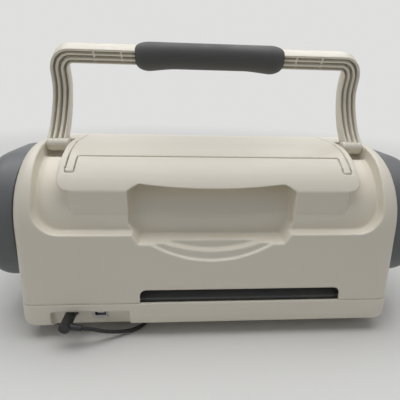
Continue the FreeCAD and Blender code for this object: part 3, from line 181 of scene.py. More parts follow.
def tint(name, slot, description, colour=None):
    """A colour property that starts at the record's colour for a finish, or at a matched one given here."""
    return FloatVectorProperty(name=name, description=description, subtype="COLOR", size=3,
                               min=0.0, max=1.0, default=colour or SLOT_COLOURS[slot])


def span(name, description, millimetres):
    """A length property given in millimetres."""
    return FloatProperty(name=name, description=description, unit="LENGTH", default=millimetres * MM)


def tally(name, description, number, least):
    """A whole-number property."""
    return IntProperty(name=name, description=description, default=number, min=least)


def tilt(name, description, degrees):
    """An angle property given in degrees."""
    return FloatProperty(name=name, description=description, subtype="ANGLE", default=math.radians(degrees))


def level(name, description, amount, least=0.0, unit="NONE"):
    """A plain amount, such as a power or a share."""
    return FloatProperty(name=name, description=description, default=amount, min=least, unit=unit)


class FinishSettings(PropertyGroup):
    """Colours and softness of the machine's finishes."""

    ivory_plastic: tint("Ivory plastic", "ivory_plastic", "Housing, lid, door, base and handle",
                        (0.80, 0.76, 0.67))
    dark_cap: tint("Dark caps", "dark_cap", "Both domed end caps", (0.115, 0.12, 0.126))
    soft_grip: tint("Soft grip", "soft_grip", "Rubber sleeve of the carrying handle", (0.06, 0.062, 0.061))
    black_plastic: tint("Black plastic", "black_plastic", "Plug, adapter, sockets and carriage",
                        (0.012, 0.012, 0.013))
    gray_plastic: tint("Gray plastic", "gray_plastic", "Console, deck, dials and plain buttons")
    rubber: tint("Black rubber", "rubber", "Feet, belt, pinch roller and cord", (0.022, 0.022, 0.022))
    steel: tint("Steel", "steel", "Rail, shafts, plates, rollers and pins")
    motor_metal: tint("Motor cans", "motor_metal", "Both motors")
    board: tint("Circuit board", "board", "Lacquer of the main board")
    white_plastic: tint("White nylon", "white_plastic", "Gears and pulleys")
    window: tint("Display", "window", "Display behind its window")
    key_rubber: tint("Key rubber", "key_rubber", "Keypad")
    cut_green: tint("Green button", "cut_green", "Button that starts the cut")
    stop_red: tint("Red button", "stop_red", "Button that stops the cut")
    edge_round: span("Edge softness", "Radius that moulded edges appear to have", 0.9)
    speck_scale: level("Speck spread", "Cells of dust specks per metre", 62.0, 1.0)


class ShapeSettings(PropertyGroup):
    """Sizes of the pieces that are added to the solids."""

    bar_low: span("Handle bar", "Height of the folded bar's outer edge", 105.5)
    bar_tall: span("Bar width", "Width of the handle's bar", 13.0)
    arm_out: span("Arm place", "Half the distance over the handle's arms", 156.5)
    arm_width: span("Arm width", "Width of an arm", 17.0)
    arm_flare: span("Arm flare", "How far an arm leans out at its foot", 3.7)
    flare_low: span("Flare start", "Height at which the folded arm begins to lean out", 137.0)
    outer_corner: span("Outer corner", "Outer corner radius of the handle", 22.0)
    inner_corner: span("Inner corner", "Inner corner radius of the handle", 7.0)
    band_out: span("Handle outside", "Radius of the handle's outside about the shoulder", 78.0)
    band_in: span("Handle inside", "Radius of the handle's inside about the shoulder", 66.0)
    channel_floor: span("Channel floor", "Radius of the floor of the handle's channels", 74.0)
    rim_round: span("Handle rim", "Rounding of the handle's outer edges", 1.6)
    ridge_round: span("Ridge rim", "Rounding of the ridges between the channels", 0.55)
    grip_top: span("Grip top", "Reach of the grip on its outer side", 11.4)
    grip_waist: span("Grip waist", "Reach of the grip on its finger side at the middle", 12.6)
    grip_bulge: span("Grip bulge", "Reach of the grip on its finger side near its ends", 15.4)
    grip_rounding: span("Grip end", "Length of the rounded end of the grip", 15.0)
    soft_voxel: span("Shell detail", "Grain of the softened shells", 0.9)
    pocket_shift: span("Pocket narrowing", "How far the grip pocket's sides stand in from the solid's", 9.6)
    notch_sag: span("Notch sag", "How far the pocket's upper edge hangs down at its middle", 3.4)
    base_spread: span("Base ends", "How far the base's ends stand out from the solid's", 2.6)
    foot_dish: span("Foot dish", "Depth of the hollow under a foot", 0.6)
    screw_head: span("Screw head", "Radius of a housing screw's head", 3.1)
    screw_rise: span("Screw rise", "Height of a housing screw's head", 1.5)
    knob_ribs: tally("Dial ribs", "Grip ribs round a dial", 18, 6)
    scale_marks: tally("Scale marks", "Marks round a dial", 11, 3)
    key_columns: tally("Key columns", "Keys in a row of the keypad", 8, 2)
    key_rows: tally("Key rows", "Rows of keys", 4, 2)
    adapter_depth: span("Adapter depth", "Depth of the adapter's case", 46.0)
    blade_pitch: span("Blade pitch", "Distance between the adapter's blades", 12.7)
    tooth_pitch: span("Belt pitch", "Distance between the belt's teeth", 2.5)
    collar_ribs: tally("Collar ribs", "Ribs round the blade holder's knob", 30, 8)
    cord_thick: span("Cord diameter", "Diameter of the power lead", 3.5)
    coil_radius: span("Coil radius", "Radius of the put-away coil at its middle", 21.0)
    coil_pitch: span("Coil pitch", "Distance from turn to turn", 3.6)
    coil_points: tally("Coil points", "Spline points in one turn", 16, 12)


class StageSettings(PropertyGroup):
    """Camera, floor and light."""

    camera_place: FloatVectorProperty(name="Camera", description="Place of the camera", unit="LENGTH",
                                      subtype="TRANSLATION", size=3, default=(0.0293, 0.3392, 0.2327))
    camera_yaw: tilt("Yaw", "Turn of the camera about the upright", 3.9)
    camera_pitch: tilt("Pitch", "How far the camera looks down", 21.1)
    camera_roll: tilt("Roll", "Tilt of the picture", -1.52)
    focal_share: level("Focal length", "Focal length as a share of the picture's width", 0.775, 0.1)
    floor_colour: FloatVectorProperty(name="Floor", description="Pale floor", subtype="COLOR", size=3,
                                      min=0.0, max=1.0, default=(0.76, 0.76, 0.75))
    sky_colour: FloatVectorProperty(name="Backdrop", description="What the camera sees behind the floor",
                                    subtype="COLOR", size=3, min=0.0, max=1.0, default=(0.74, 0.74, 0.735))
    sky_light: level("Fill", "Strength of the light from all sides", 0.15)
    key_power: level("Overhead light", "Power of the overhead lamp", 20.0, unit="POWER")
    front_power: level("Side light", "Power of the lamp beside the camera", 0.4, unit="POWER")


class Wire:
    """A shader value that takes part in sums, products and comparisons."""

    def __init__(self, plan, socket):
        self.plan = plan
        self.socket = socket

    def join(self, operation, first, second):
        """A Math node on two values."""
        return self.plan.node("Math", {"operation": operation}, {0: first, 1: second})

    def peak(self, other):
        """The greater of two values."""
        return self.join("MAXIMUM", self, other)

    def __add__(self, other):
        return self.join("ADD", self, other)

    def __radd__(self, other):
        return self.join("ADD", other, self)

    def __sub__(self, other):
        return self.join("SUBTRACT", self, other)

    def __rsub__(self, other):
        return self.join("SUBTRACT", other, self)

    def __mul__(self, other):
        return self.join("MULTIPLY", self, other)

    def __rmul__(self, other):
        return self.join("MULTIPLY", other, self)

    def __gt__(self, other):
        return self.join("GREATER_THAN", self, other)

    def __lt__(self, other):
        return self.join("LESS_THAN", self, other)


class Plan:
    """A shader tree under construction."""

    def __init__(self, tree):
        self.tree = tree

    def node(self, kind, settings, sockets, output=0):
        """One of a new node's outputs, after its settings and then its sockets are filled."""
        item = self.tree.nodes.new("ShaderNode" + kind)
        for key, value in settings.items():
            setattr(item, key, value)
        for key, value in sockets.items():
            self.feed(item.inputs[key], value)
        return Wire(self, item.outputs[output])

    def feed(self, socket, value):
        """Links a value to a socket, or sets the socket to a number or colour."""
        if isinstance(value, Wire):
            self.tree.links.new(value.socket, socket)
        else:
            socket.default_value = value

    def ray(self, *kinds):
        """1 where light is seen by any of these kinds of ray."""
        first, *others = [self.node("LightPath", {}, {}, "Is " + kind + " Ray") for kind in kinds]
        for other in others:
            first = first.peak(other)
        return first


class Paint(Plan):
    """A material under construction round one Principled shader."""

    def __init__(self, slot):
        self.material = bpy.data.materials.new(slot + "_finish")
        self.material.use_nodes = True
        super().__init__(self.material.node_tree)
        self.shader = self.tree.nodes["Principled BSDF"]
        self.colour = tuple(getattr(bpy.context.scene.cutter_finish, slot))
        self.place = self.node("TexCoord", {}, {}, "Object")

    def give(self, **sockets):
        """Fills sockets of the Principled shader, named in lower case."""
        for key, value in sockets.items():
            self.feed(self.shader.inputs[key.replace("_", " ").title()], value)

    def noise(self, scale, detail=2.0, stretch=None):
        """Noise in the piece's own place, stretched along its axes if asked."""
        place = self.place
        if stretch:
            place = self.node("Mapping", {}, {"Vector": place, "Scale": stretch})
        return self.node("TexNoise", {}, {"Vector": place, "Scale": scale, "Detail": detail})

    def shade(self, factor):
        """The finish's colour, lighter or darker."""
        return tuple(min(channel * factor, 1.0) for channel in self.colour) + (1.0,)

    def mix(self, factor, first, second):
        """A blend of two colours."""
        return self.node("Mix", {"data_type": "RGBA"}, {0: factor, 6: first, 7: second}, 2)

    def relief(self, height, distance):
        """A surface that is uneven by a height, on edges that look softly rounded."""
        soft = self.node("Bevel", {"samples": 6}, {"Radius": bpy.context.scene.cutter_finish.edge_round})
        return self.node("Bump", {}, {"Strength": 1.0, "Distance": distance, "Height": height,
                                      "Normal": soft})


def spread(value, low, high):
    """A noise value carried from its middle range onto low to high."""
    return (value - 0.5) * (NOISE_GAIN * (high - low)) + 0.5 * (low + high)


def moulded(slot, rough, drift, grain, depth, coat=0.0):
    """Moulded plastic: slow drift of colour, uneven gloss and a fine spark-eroded grain."""
    paint = Paint(slot)
    slow = paint.noise(9.0, 3.0)
    rubbed = paint.noise(38.0, 4.0, (1.0, 2.6, 2.6))
    fine = paint.noise(grain, 2.0)
    paint.give(base_color=paint.mix(slow, paint.shade(1.0 - drift), paint.shade(1.0 + drift)),
               roughness=spread(rubbed, rough - GLOSS_DRIFT, rough + GLOSS_DRIFT),
               normal=paint.relief(fine, depth), coat_weight=coat)
    return paint


def ivory_finish():
    """Satin ivory plastic, a little yellowed in patches, with sparse dust specks and handling scuffs."""
    paint = Paint("ivory_plastic")
    speck_scale = bpy.context.scene.cutter_finish.speck_scale
    slow = paint.noise(6.5, 3.0)
    cell = {"Vector": paint.place, "Scale": speck_scale}
    near = paint.node("TexVoronoi", {}, cell, "Distance")
    draw = paint.node("TexVoronoi", {}, cell, "Color")
    chance = paint.node("SeparateColor", {}, {0: draw})
    speck = (near < SPECK_REACH) * (chance > SPECK_RARE)
    warm = paint.node("HueSaturation", {}, {"Saturation": 1.22, "Value": 0.97, "Color": paint.shade(1.0)})
    body = paint.mix(slow, warm, paint.shade(1.03))
    scuff = paint.noise(46.0, 5.0, (1.0, 3.0, 3.0))
    grain = paint.noise(1900.0, 2.0)
    paint.give(base_color=paint.mix(speck * SPECK_DARK, body, SPECK_COLOUR),
               roughness=spread(scuff, 0.3, 0.44), normal=paint.relief(grain, 0.000012))
    return paint


def rubber_finish(slot, rough=0.78, grain=1500.0, depth=0.00006):
    """Matt rubber with a pebbled skin, dusty in patches, its colour lighter on the pebbling's high spots
    and darker in its dimples.
    """
    paint = Paint(slot)
    dust = paint.noise(31.0, 5.0)
    pebble = paint.node("TexVoronoi", {}, {"Vector": paint.place, "Scale": grain}, "Distance")
    paint.give(base_color=paint.mix(dust * 0.5 + pebble * 0.2, paint.shade(0.82), paint.shade(1.55)),
               roughness=spread(dust, rough - 0.1, rough + 0.1), normal=paint.relief(pebble, depth))
    return paint


def steel_finish():
    """Ground steel with fine lines along the machine and a faint bloom."""
    paint = Paint("steel")
    lines = paint.noise(60.0, 4.0, (1.0, 26.0, 26.0))
    bloom = paint.noise(24.0, 3.0)
    paint.give(base_color=paint.mix(bloom, paint.shade(0.86), paint.shade(1.1)), metallic=1.0,
               roughness=spread(lines, 0.2, 0.42), normal=paint.relief(lines, 0.000008))
    return paint


def can_finish():
    """Plated and painted motor can."""
    paint = Paint("motor_metal")
    cloud = paint.noise(52.0, 4.0)
    paint.give(base_color=paint.mix(cloud, paint.shade(0.8), paint.shade(1.3)), metallic=0.6,
               roughness=spread(cloud, 0.32, 0.52), normal=paint.relief(paint.noise(900.0), 0.00001))
    return paint


def board_finish():
    """Green lacquer over copper tracks and plated pads."""
    paint = Paint("board")
    rows = paint.node("TexBrick", {}, {"Vector": paint.place, "Scale": 90.0, "Mortar Size": 0.03,
                                       "Color1": (0, 0, 0, 1), "Color2": (0, 0, 0, 1),
                                       "Mortar": (1, 1, 1, 1)})
    pads = paint.node("TexVoronoi", {}, {"Vector": paint.place, "Scale": 240.0}, "Distance")
    lacquer = paint.mix(rows, paint.shade(0.8), paint.shade(1.8))
    paint.give(base_color=paint.mix((pads < 0.16) * 0.8, lacquer, PAD_COLOUR),
               roughness=0.36, normal=paint.relief(pads, 0.00002))
    return paint


def window_finish():
    """Smoked window over a display whose unlit cells just show."""
    paint = Paint("window")
    cells = paint.node("TexBrick", {}, {"Vector": paint.place, "Scale": 150.0, "Mortar Size": 0.07,
                                        "Color1": (1, 1, 1, 1), "Color2": (0.8, 0.8, 0.8, 1),
                                        "Mortar": (0, 0, 0, 1)})
    smear = paint.noise(70.0, 4.0)
    paint.give(base_color=paint.mix(cells, paint.shade(0.7), paint.shade(1.9)),
               roughness=spread(smear, 0.06, 0.16), coat_weight=1.0, normal=paint.relief(smear, 0.000002))
    return paint


FINISHES = {
    "ivory_plastic": ivory_finish,
    "dark_cap": lambda: moulded("dark_cap", 0.42, 0.08, 1500.0, 0.00002),
    "soft_grip": lambda: rubber_finish("soft_grip", 0.62, 2300.0, 0.00003),
    "black_plastic": lambda: moulded("black_plastic", 0.4, 0.2, 1300.0, 0.00003),
    "gray_plastic": lambda: moulded("gray_plastic", 0.45, 0.06, 1400.0, 0.00003),
    "rubber": lambda: rubber_finish("rubber"),
    "steel": steel_finish,
    "motor_metal": can_finish,
    "board": board_finish,
    "white_plastic": lambda: moulded("white_plastic", 0.36, 0.04, 900.0, 0.00002),
    "window": window_finish,
    "key_rubber": lambda: moulded("key_rubber", 0.6, 0.08, 1700.0, 0.00003),
    "cut_green": lambda: moulded("cut_green", 0.28, 0.08, 900.0, 0.00001, 0.3),
    "stop_red": lambda: moulded("stop_red", 0.28, 0.08, 900.0, 0.00001, 0.3),
}
PAINTED = {}


def finish_for(slot):
    """The material of a finish, made the first time it is asked for."""
    if slot not in PAINTED:
        PAINTED[slot] = FINISHES[slot]().material
    return PAINTED[slot]


def dress(*names):
    """Gives solids the finish that the record names for them."""
    for name in names:
        solid = NODES[name]
        solid.data.materials.clear()
        solid.data.materials.append(finish_for(NODE_SLOTS[name]))


def turned(profile, steps=48):
    """A closed turned shape about Z from (radius, height) pairs, the first and last on the axis."""
    shape = bmesh.new()
    rings = []
    for radius, height in profile:
        if radius < 1e-7:
            rings.append([shape.verts.new((0.0, 0.0, height))])
            continue
        rings.append([shape.verts.new((radius * math.cos(FULL_TURN * step / steps),
                                       radius * math.sin(FULL_TURN * step / steps), height))
                      for step in range(steps)])
    for low, high in zip(rings, rings[1:]):
        for step in range(steps):
            corners = [low[step % len(low)], low[(step + 1) % len(low)],
                       high[(step + 1) % len(high)], high[step % len(high)]]
            kept = list(dict.fromkeys(corners))
            if len(kept) > 2:
                shape.faces.new(kept)
    bmesh.ops.recalc_face_normals(shape, faces=shape.faces)
    return shape


def block(size, rounding, segments=2):
    """A box about the origin with rounded edges."""
    shape = bmesh.new()
    bmesh.ops.create_cube(shape, size=1.0, matrix=Matrix.Diagonal((*size, 1.0)))
    bmesh.ops.bevel(shape, geom=shape.edges[:], offset=rounding, segments=segments, profile=0.5,
                    affect="EDGES")
    bmesh.ops.recalc_face_normals(shape, faces=shape.faces)
    return shape


def prism(outline, height):
    """A flat printed mark: an outline in XY raised to a height."""
    shape = bmesh.new()
    face = shape.faces.new([shape.verts.new((x, y, 0.0)) for x, y in outline])
    raised = bmesh.ops.extrude_face_region(shape, geom=[face])["geom"]
    bmesh.ops.translate(shape, verts=[item for item in raised if isinstance(item, bmesh.types.BMVert)],
                        vec=(0.0, 0.0, height))
    bmesh.ops.recalc_face_normals(shape, faces=shape.faces)
    return shape


def matrix_for(place):
    """A matrix as it is, or the move to a point."""
    return place if isinstance(place, Matrix) else Matrix.Translation(place)


def put(shape, place):
    """Moves a shape by a matrix or to a point."""
    bmesh.ops.transform(shape, matrix=matrix_for(place), verts=shape.verts)
    return shape


def hex_screw(head, rise, shoulder, crown, socket, floor):
    """A six-sided screw head with a six-sided socket: the last four are shares of its radius or rise."""
    return turned([(0.0, 0.0), (head, 0.0), (head, rise * shoulder), (head * crown, rise),
                   (head * socket, rise), (head * socket, rise * floor), (0.0, rise * floor)], 6)


def piece(name, shapes, slot, body, nodes=(), sharp=SHARP_EDGE):
    """Adds one finished piece, made of one or more shapes, and lets it ride on a body."""
    whole = bmesh.new()
    for shape in shapes:
        part = shape
        if isinstance(shape, bmesh.types.BMesh):
            part = bpy.data.meshes.new(name)
            shape.to_mesh(part)
            shape.free()
        whole.from_mesh(part)
        bpy.data.meshes.remove(part)
    mesh = bpy.data.meshes.new(name)
    whole.to_mesh(mesh)
    whole.free()
    mesh.shade_smooth()
    mesh.set_sharp_from_angle(angle=math.radians(sharp))
    mesh.materials.clear()
    mesh.materials.append(finish_for(slot))
    made = bpy.data.objects.new(name, mesh)
    bpy.context.scene.collection.objects.link(made)
    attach(made, body)
    if nodes:
        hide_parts(*nodes)
    return made


class Recipe:
    """A Geometry Nodes tree that repeats one shape, with named inputs for its sizes."""

    def __init__(self, name, inputs):
        self.tree = bpy.data.node_groups.new(name, "GeometryNodeTree")
        self.ids = {}
        self.tree.interface.new_socket("Geometry", in_out="INPUT", socket_type="NodeSocketGeometry")
        self.tree.interface.new_socket("Geometry", in_out="OUTPUT", socket_type="NodeSocketGeometry")
        for label, kind in {**inputs, "Shape": "Object", "Finish": "Material"}.items():
            socket = self.tree.interface.new_socket(label, in_out="INPUT", socket_type="NodeSocket" + kind)
            self.ids[label] = socket.identifier
        self.entry = self.tree.nodes.new("NodeGroupInput")
        self.exit = self.tree.nodes.new("NodeGroupOutput")

    def node(self, kind, settings, sockets):
        """A new node with its settings and sockets filled."""
        item = self.tree.nodes.new(kind)
        for key, value in settings.items():
            setattr(item, key, value)
        for key, value in sockets.items():
            if isinstance(value, bpy.types.NodeSocket):
                self.tree.links.new(value, item.inputs[key])
            else:
                item.inputs[key].default_value = value
        return item

    def close(self, points, rotation=None):
        """Sets the shape on the points, makes it real and gives it its finish."""
        source = self.node("GeometryNodeObjectInfo", {}, {"Object": self.entry.outputs["Shape"]})
        turn = {"Rotation": rotation} if rotation else {}
        placed = self.node("GeometryNodeInstanceOnPoints", {},
                           {"Points": points, "Instance": source.outputs["Geometry"], **turn})
        real = self.node("GeometryNodeRealizeInstances", {}, {"Geometry": placed.outputs["Instances"]})
        painted = self.node("GeometryNodeSetMaterial", {}, {"Geometry": real.outputs["Geometry"],
                                                            "Material": self.entry.outputs["Finish"]})
        self.tree.links.new(painted.outputs["Geometry"], self.exit.inputs["Geometry"])

    def grow(self, shape, slot, points=(), place=None, **sizes):
        """The repeated shape as a plain mesh."""
        seed = bpy.data.meshes.new("seed")
        shape.to_mesh(seed)
        shape.free()
        seed_object = bpy.data.objects.new("seed", seed)
        ground = bpy.data.meshes.new("ground")
        ground.from_pydata([tuple(point) for point in points], [], [])
        holder = bpy.data.objects.new("holder", ground)
        bpy.context.scene.collection.objects.link(seed_object)
        bpy.context.scene.collection.objects.link(holder)
        modifier = holder.modifiers.new("repeat", "NODES")
        modifier.node_group = self.tree
        for label, value in {**sizes, "Shape": seed_object, "Finish": finish_for(slot)}.items():
            modifier[self.ids[label]] = value
        graph = bpy.context.evaluated_depsgraph_get()
        mesh = bpy.data.meshes.new_from_object(holder.evaluated_get(graph))
        holder.modifiers.remove(modifier)
        bpy.data.objects.remove(holder)
        bpy.data.objects.remove(seed_object)
        if len(mesh.polygons) == 0:
            raise RuntimeError("nothing grew from " + self.tree.name)
        if place is not None:
            mesh.transform(matrix_for(place))
        return mesh


RECIPES = {}


def recipe(kind):
    """The tree that sets shapes on points, round an arc or on a grid."""
    if kind in RECIPES:
        return RECIPES[kind]
    if kind == "points":
        made = Recipe("shapes_on_points", {})
        cloud = made.node("GeometryNodeMeshToPoints", {}, {"Mesh": made.entry.outputs["Geometry"]})
        made.close(cloud.outputs["Points"])
    elif kind == "arc":
        made = Recipe("shapes_round_an_arc", {"Count": "Int", "Radius": "Float", "Start": "Float",
                                              "Sweep": "Float"})
        arc = made.node("GeometryNodeCurveArc", {}, {"Resolution": made.entry.outputs["Count"],
                                                     "Radius": made.entry.outputs["Radius"],
                                                     "Start Angle": made.entry.outputs["Start"],
                                                     "Sweep Angle": made.entry.outputs["Sweep"]})
        where = made.node("GeometryNodeInputPosition", {}, {})
        turn = made.node("FunctionNodeAlignRotationToVector", {"axis": "X", "pivot_axis": "Z"},
                         {"Vector": where.outputs["Position"]})
        made.close(arc.outputs["Curve"], turn.outputs["Rotation"])
    else:
        made = Recipe("shapes_on_a_grid", {"Columns": "Int", "Rows": "Int", "Wide": "Float",
                                           "Tall": "Float"})
        grid = made.node("GeometryNodeMeshGrid", {}, {"Vertices X": made.entry.outputs["Columns"],
                                                      "Vertices Y": made.entry.outputs["Rows"],
                                                      "Size X": made.entry.outputs["Wide"],
                                                      "Size Y": made.entry.outputs["Tall"]})
        made.close(grid.outputs["Mesh"])
    RECIPES[kind] = made
    return made


def ring(shape, slot, count, radius, place, start=0.0, sweep=None):
    """A shape repeated round a circle or, with a sweep, along part of one."""
    whole = FULL_TURN * (1.0 - 1.0 / count)
    return recipe("arc").grow(shape, slot, place=place, Count=count, Radius=radius, Start=start,
                              Sweep=whole if sweep is None else sweep)


def corners(name):
    """Lowest and highest corners of a solid's box."""
    return [Vector(corner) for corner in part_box(name)]


def middle(name):
    """Middle of a solid's box."""
    low, high = corners(name)
    return (low + high) / 2.0


def along(axis, origin, side=Vector((1.0, 0.0, 0.0))):
    """A place whose Z runs along an axis and whose X keeps to a side."""
    up = Vector(axis).normalized()
    across = (side - up * side.dot(up)).normalized()
    other = up.cross(across)
    matrix = Matrix((across, other, up)).transposed().to_4x4()
    matrix.translation = origin
    return matrix


def settings():
    """The sizes of the added pieces."""
    return bpy.context.scene.cutter_shape


def smooth_step(value, low, high):
    """0 below low, 1 above high and an even curve between."""
    share = min(max((value - low) / (high - low), 0.0), 1.0)
    return share * share * (3.0 - 2.0 * share)


def softened(name, voxel):
    """A copy of a solid with its edges rounded as a moulding's are."""
    mesh = NODES[name].data.copy()
    shape = bmesh.new()
    shape.from_mesh(mesh)
    bmesh.ops.remove_doubles(shape, verts=shape.verts, dist=MERGE_REACH)
    shape.to_mesh(mesh)
    shape.free()
    holder = bpy.data.objects.new("holder", mesh)
    bpy.context.scene.collection.objects.link(holder)
    remesh = holder.modifiers.new("remesh", "REMESH")
    remesh.mode = "VOXEL"
    remesh.voxel_size = voxel
    even = holder.modifiers.new("even", "SMOOTH")
    even.factor = SMOOTH_SHARE
    even.iterations = SMOOTH_PASSES
    graph = bpy.context.evaluated_depsgraph_get()
    count = len(holder.evaluated_get(graph).data.polygons) * 2
    if count > SKIN_LIMIT:
        thin = holder.modifiers.new("thin", "DECIMATE")
        thin.ratio = SKIN_LIMIT / count
        graph = bpy.context.evaluated_depsgraph_get()
    result = bpy.data.meshes.new_from_object(holder.evaluated_get(graph))
    bpy.data.objects.remove(holder)
    bpy.data.meshes.remove(mesh)
    return result


def skin(name, body, voxel, mould=None):
    """Replaces a solid with its softened copy, which a function may mould further."""
    mesh = softened(name, voxel)
    if mould:
        mould(mesh)
    return piece(name + "_skin", [mesh], NODE_SLOTS[name], body, [name], ALL_SMOOTH)


class CUTTER_OT_cord(Operator):
    """Lays the power lead on the table, with its put-away length in a tied coil"""

    bl_idname = "cutter.cord"
    bl_label = "Power lead"

    def execute(self, context):
        sizes = settings()
        thick = sizes.cord_thick
        points = [Vector(point) * MM for point in CORD_ROUTE]
        centre = middle("cord_coil")
        tail_low, tail_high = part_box("cord_tail")
        count = int(COIL_TURNS * sizes.coil_points)
        for step in range(count + 1):
            cell = min(step / count * len(COIL_CELLS), len(COIL_CELLS) - 1.001)
            first = COIL_CELLS[int(cell)]
            second = COIL_CELLS[min(int(cell) + 1, len(COIL_CELLS) - 1)]
            ease = max((cell - int(cell) - 1.0) * CELL_CROSSING + 1.0, 0.0)
            out = sizes.coil_radius + sizes.coil_pitch * (first[0] + (second[0] - first[0]) * ease)
            rise = sizes.coil_pitch * (first[1] + (second[1] - first[1]) * ease)
            angle = FULL_TURN * (COIL_START - COIL_TURNS * step / count)
            points.append(centre + Vector((out * math.cos(angle), out * math.sin(angle), rise)))
        tail_x = (tail_low[0] + tail_high[0]) / 2.0
        for share in TAIL_SHARES:
            points.append(Vector((tail_x, tail_high[1] + (tail_low[1] - tail_high[1]) * share, centre.z)))
        line = bpy.data.curves.new("power_lead", "CURVE")
        line.dimensions = "3D"
        line.resolution_u = 4
        line.bevel_depth = thick / 2.0
        line.bevel_resolution = 3
        line.use_fill_caps = True
        spline = line.splines.new("NURBS")
        spline.points.add(len(points) - 1)
        for target, point in zip(spline.points, points):
            target.co = (*point, 1.0)
        spline.order_u = 3
        spline.use_endpoint_u = True
        line.materials.append(finish_for("rubber"))
        lead = bpy.data.objects.new("power_lead", line)
        context.scene.collection.objects.link(lead)
        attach(lead, HOUSING)
        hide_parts("power_cord", "cord_coil", "cord_tail")
        dress("dc_plug", "cord_tie")
        self.adapter(sizes)
        self.relief_ribs(points[0])
        return {"FINISHED"}

    def adapter(self, sizes):
        """The wall adapter with soft edges and its two bright blades."""
        low, high = corners("power_adapter")
        case = piece("adapter_case", [softened("power_adapter", FINE_VOXEL)], "black_plastic", HOUSING,
                     ["power_adapter"], ALL_SMOOTH)
        depth = sizes.adapter_depth
        spots = [((low.x + high.x) / 2.0 + side * sizes.blade_pitch / 2.0, low.y + depth / 2.0,
                  high.z - 8.0 * MM) for side in (-1.0, 1.0)]
        blade = block((1.8 * MM, 6.6 * MM, 16.1 * MM), 0.5 * MM, 3)
        blades = piece("adapter_blades", [recipe("points").grow(blade, "steel", spots)], "steel", HOUSING)
        return case, blades

    def relief_ribs(self, start):
        """Ribs round the plug's strain relief."""
        high = corners("dc_plug")[1]
        neck = Vector((high.x - 5.0 * MM, start.y, high.z - 5.0 * MM))
        way = start - neck
        rib = turned([(0.0, -0.5 * MM), (2.5 * MM, -0.5 * MM), (2.9 * MM, 0.0), (2.5 * MM, 0.5 * MM),
                      (0.0, 0.5 * MM)], 24)
        put(rib, along(way, (0.0, 0.0, 0.0), Vector((0.0, 0.0, 1.0))))
        spots = [neck + way * share for share in (0.5, 0.66, 0.82)]
        return piece("relief_ribs", [recipe("points").grow(rib, "black_plastic", spots)], "black_plastic",
                     HOUSING)


class CUTTER_OT_shells(Operator):
    """Finishes the moulded shells, the end caps and the hinge pins"""

    bl_idname = "cutter.shells"
    bl_label = "Shells"

    def execute(self, context):
        dress("handle_pins", "lid_pins", "door_pins")
        moulds = {"rear_shell": self.mould_pocket, "base_tray": self.spread_ends}
        for name, body in SOFT_SHELLS.items():
            skin(name, body, settings().soft_voxel, moulds.get(name))
        return {"FINISHED"}

    def spread_ends(self, mesh):
        """Carries the base's ends out almost to the housing's."""
        spread_by = settings().base_spread
        for vertex in mesh.vertices:
            reach = abs(vertex.co.x)
            out = spread_by * smooth_step(reach, *BASE_END)
            vertex.co.x = math.copysign(reach + out, vertex.co.x)

    def mould_pocket(self, mesh):
        """Draws the grip pocket's sides in and lets the edge above it hang in a shallow curve."""
        sizes = settings()
        for vertex in mesh.vertices:
            x, y, z = vertex.co / MM
            if y < POCKET_REAR:
                continue
            reach = abs(x)
            drawn = smooth_step(reach, *POCKET_SIDE) * (1.0 - smooth_step(reach, *POCKET_FADE))
            reach -= sizes.pocket_shift / MM * drawn * smooth_step(z, *POCKET_CLIMB)
            droop = sizes.notch_sag / MM * max(1.0 - (reach / NOTCH_HALF) ** 2, 0.0)
            droop *= smooth_step(z, *NOTCH_RISE) * (1.0 - smooth_step(z, *NOTCH_FALL))
            around = math.hypot(y - SHOULDER[0], z - SHOULDER[1])
            low = z - droop
            if droop > 0.0:
                y = SHOULDER[0] + math.sqrt(max(around ** 2 - (low - SHOULDER[1]) ** 2, 0.0))
            vertex.co = Vector((math.copysign(reach, x), y, low)) * MM


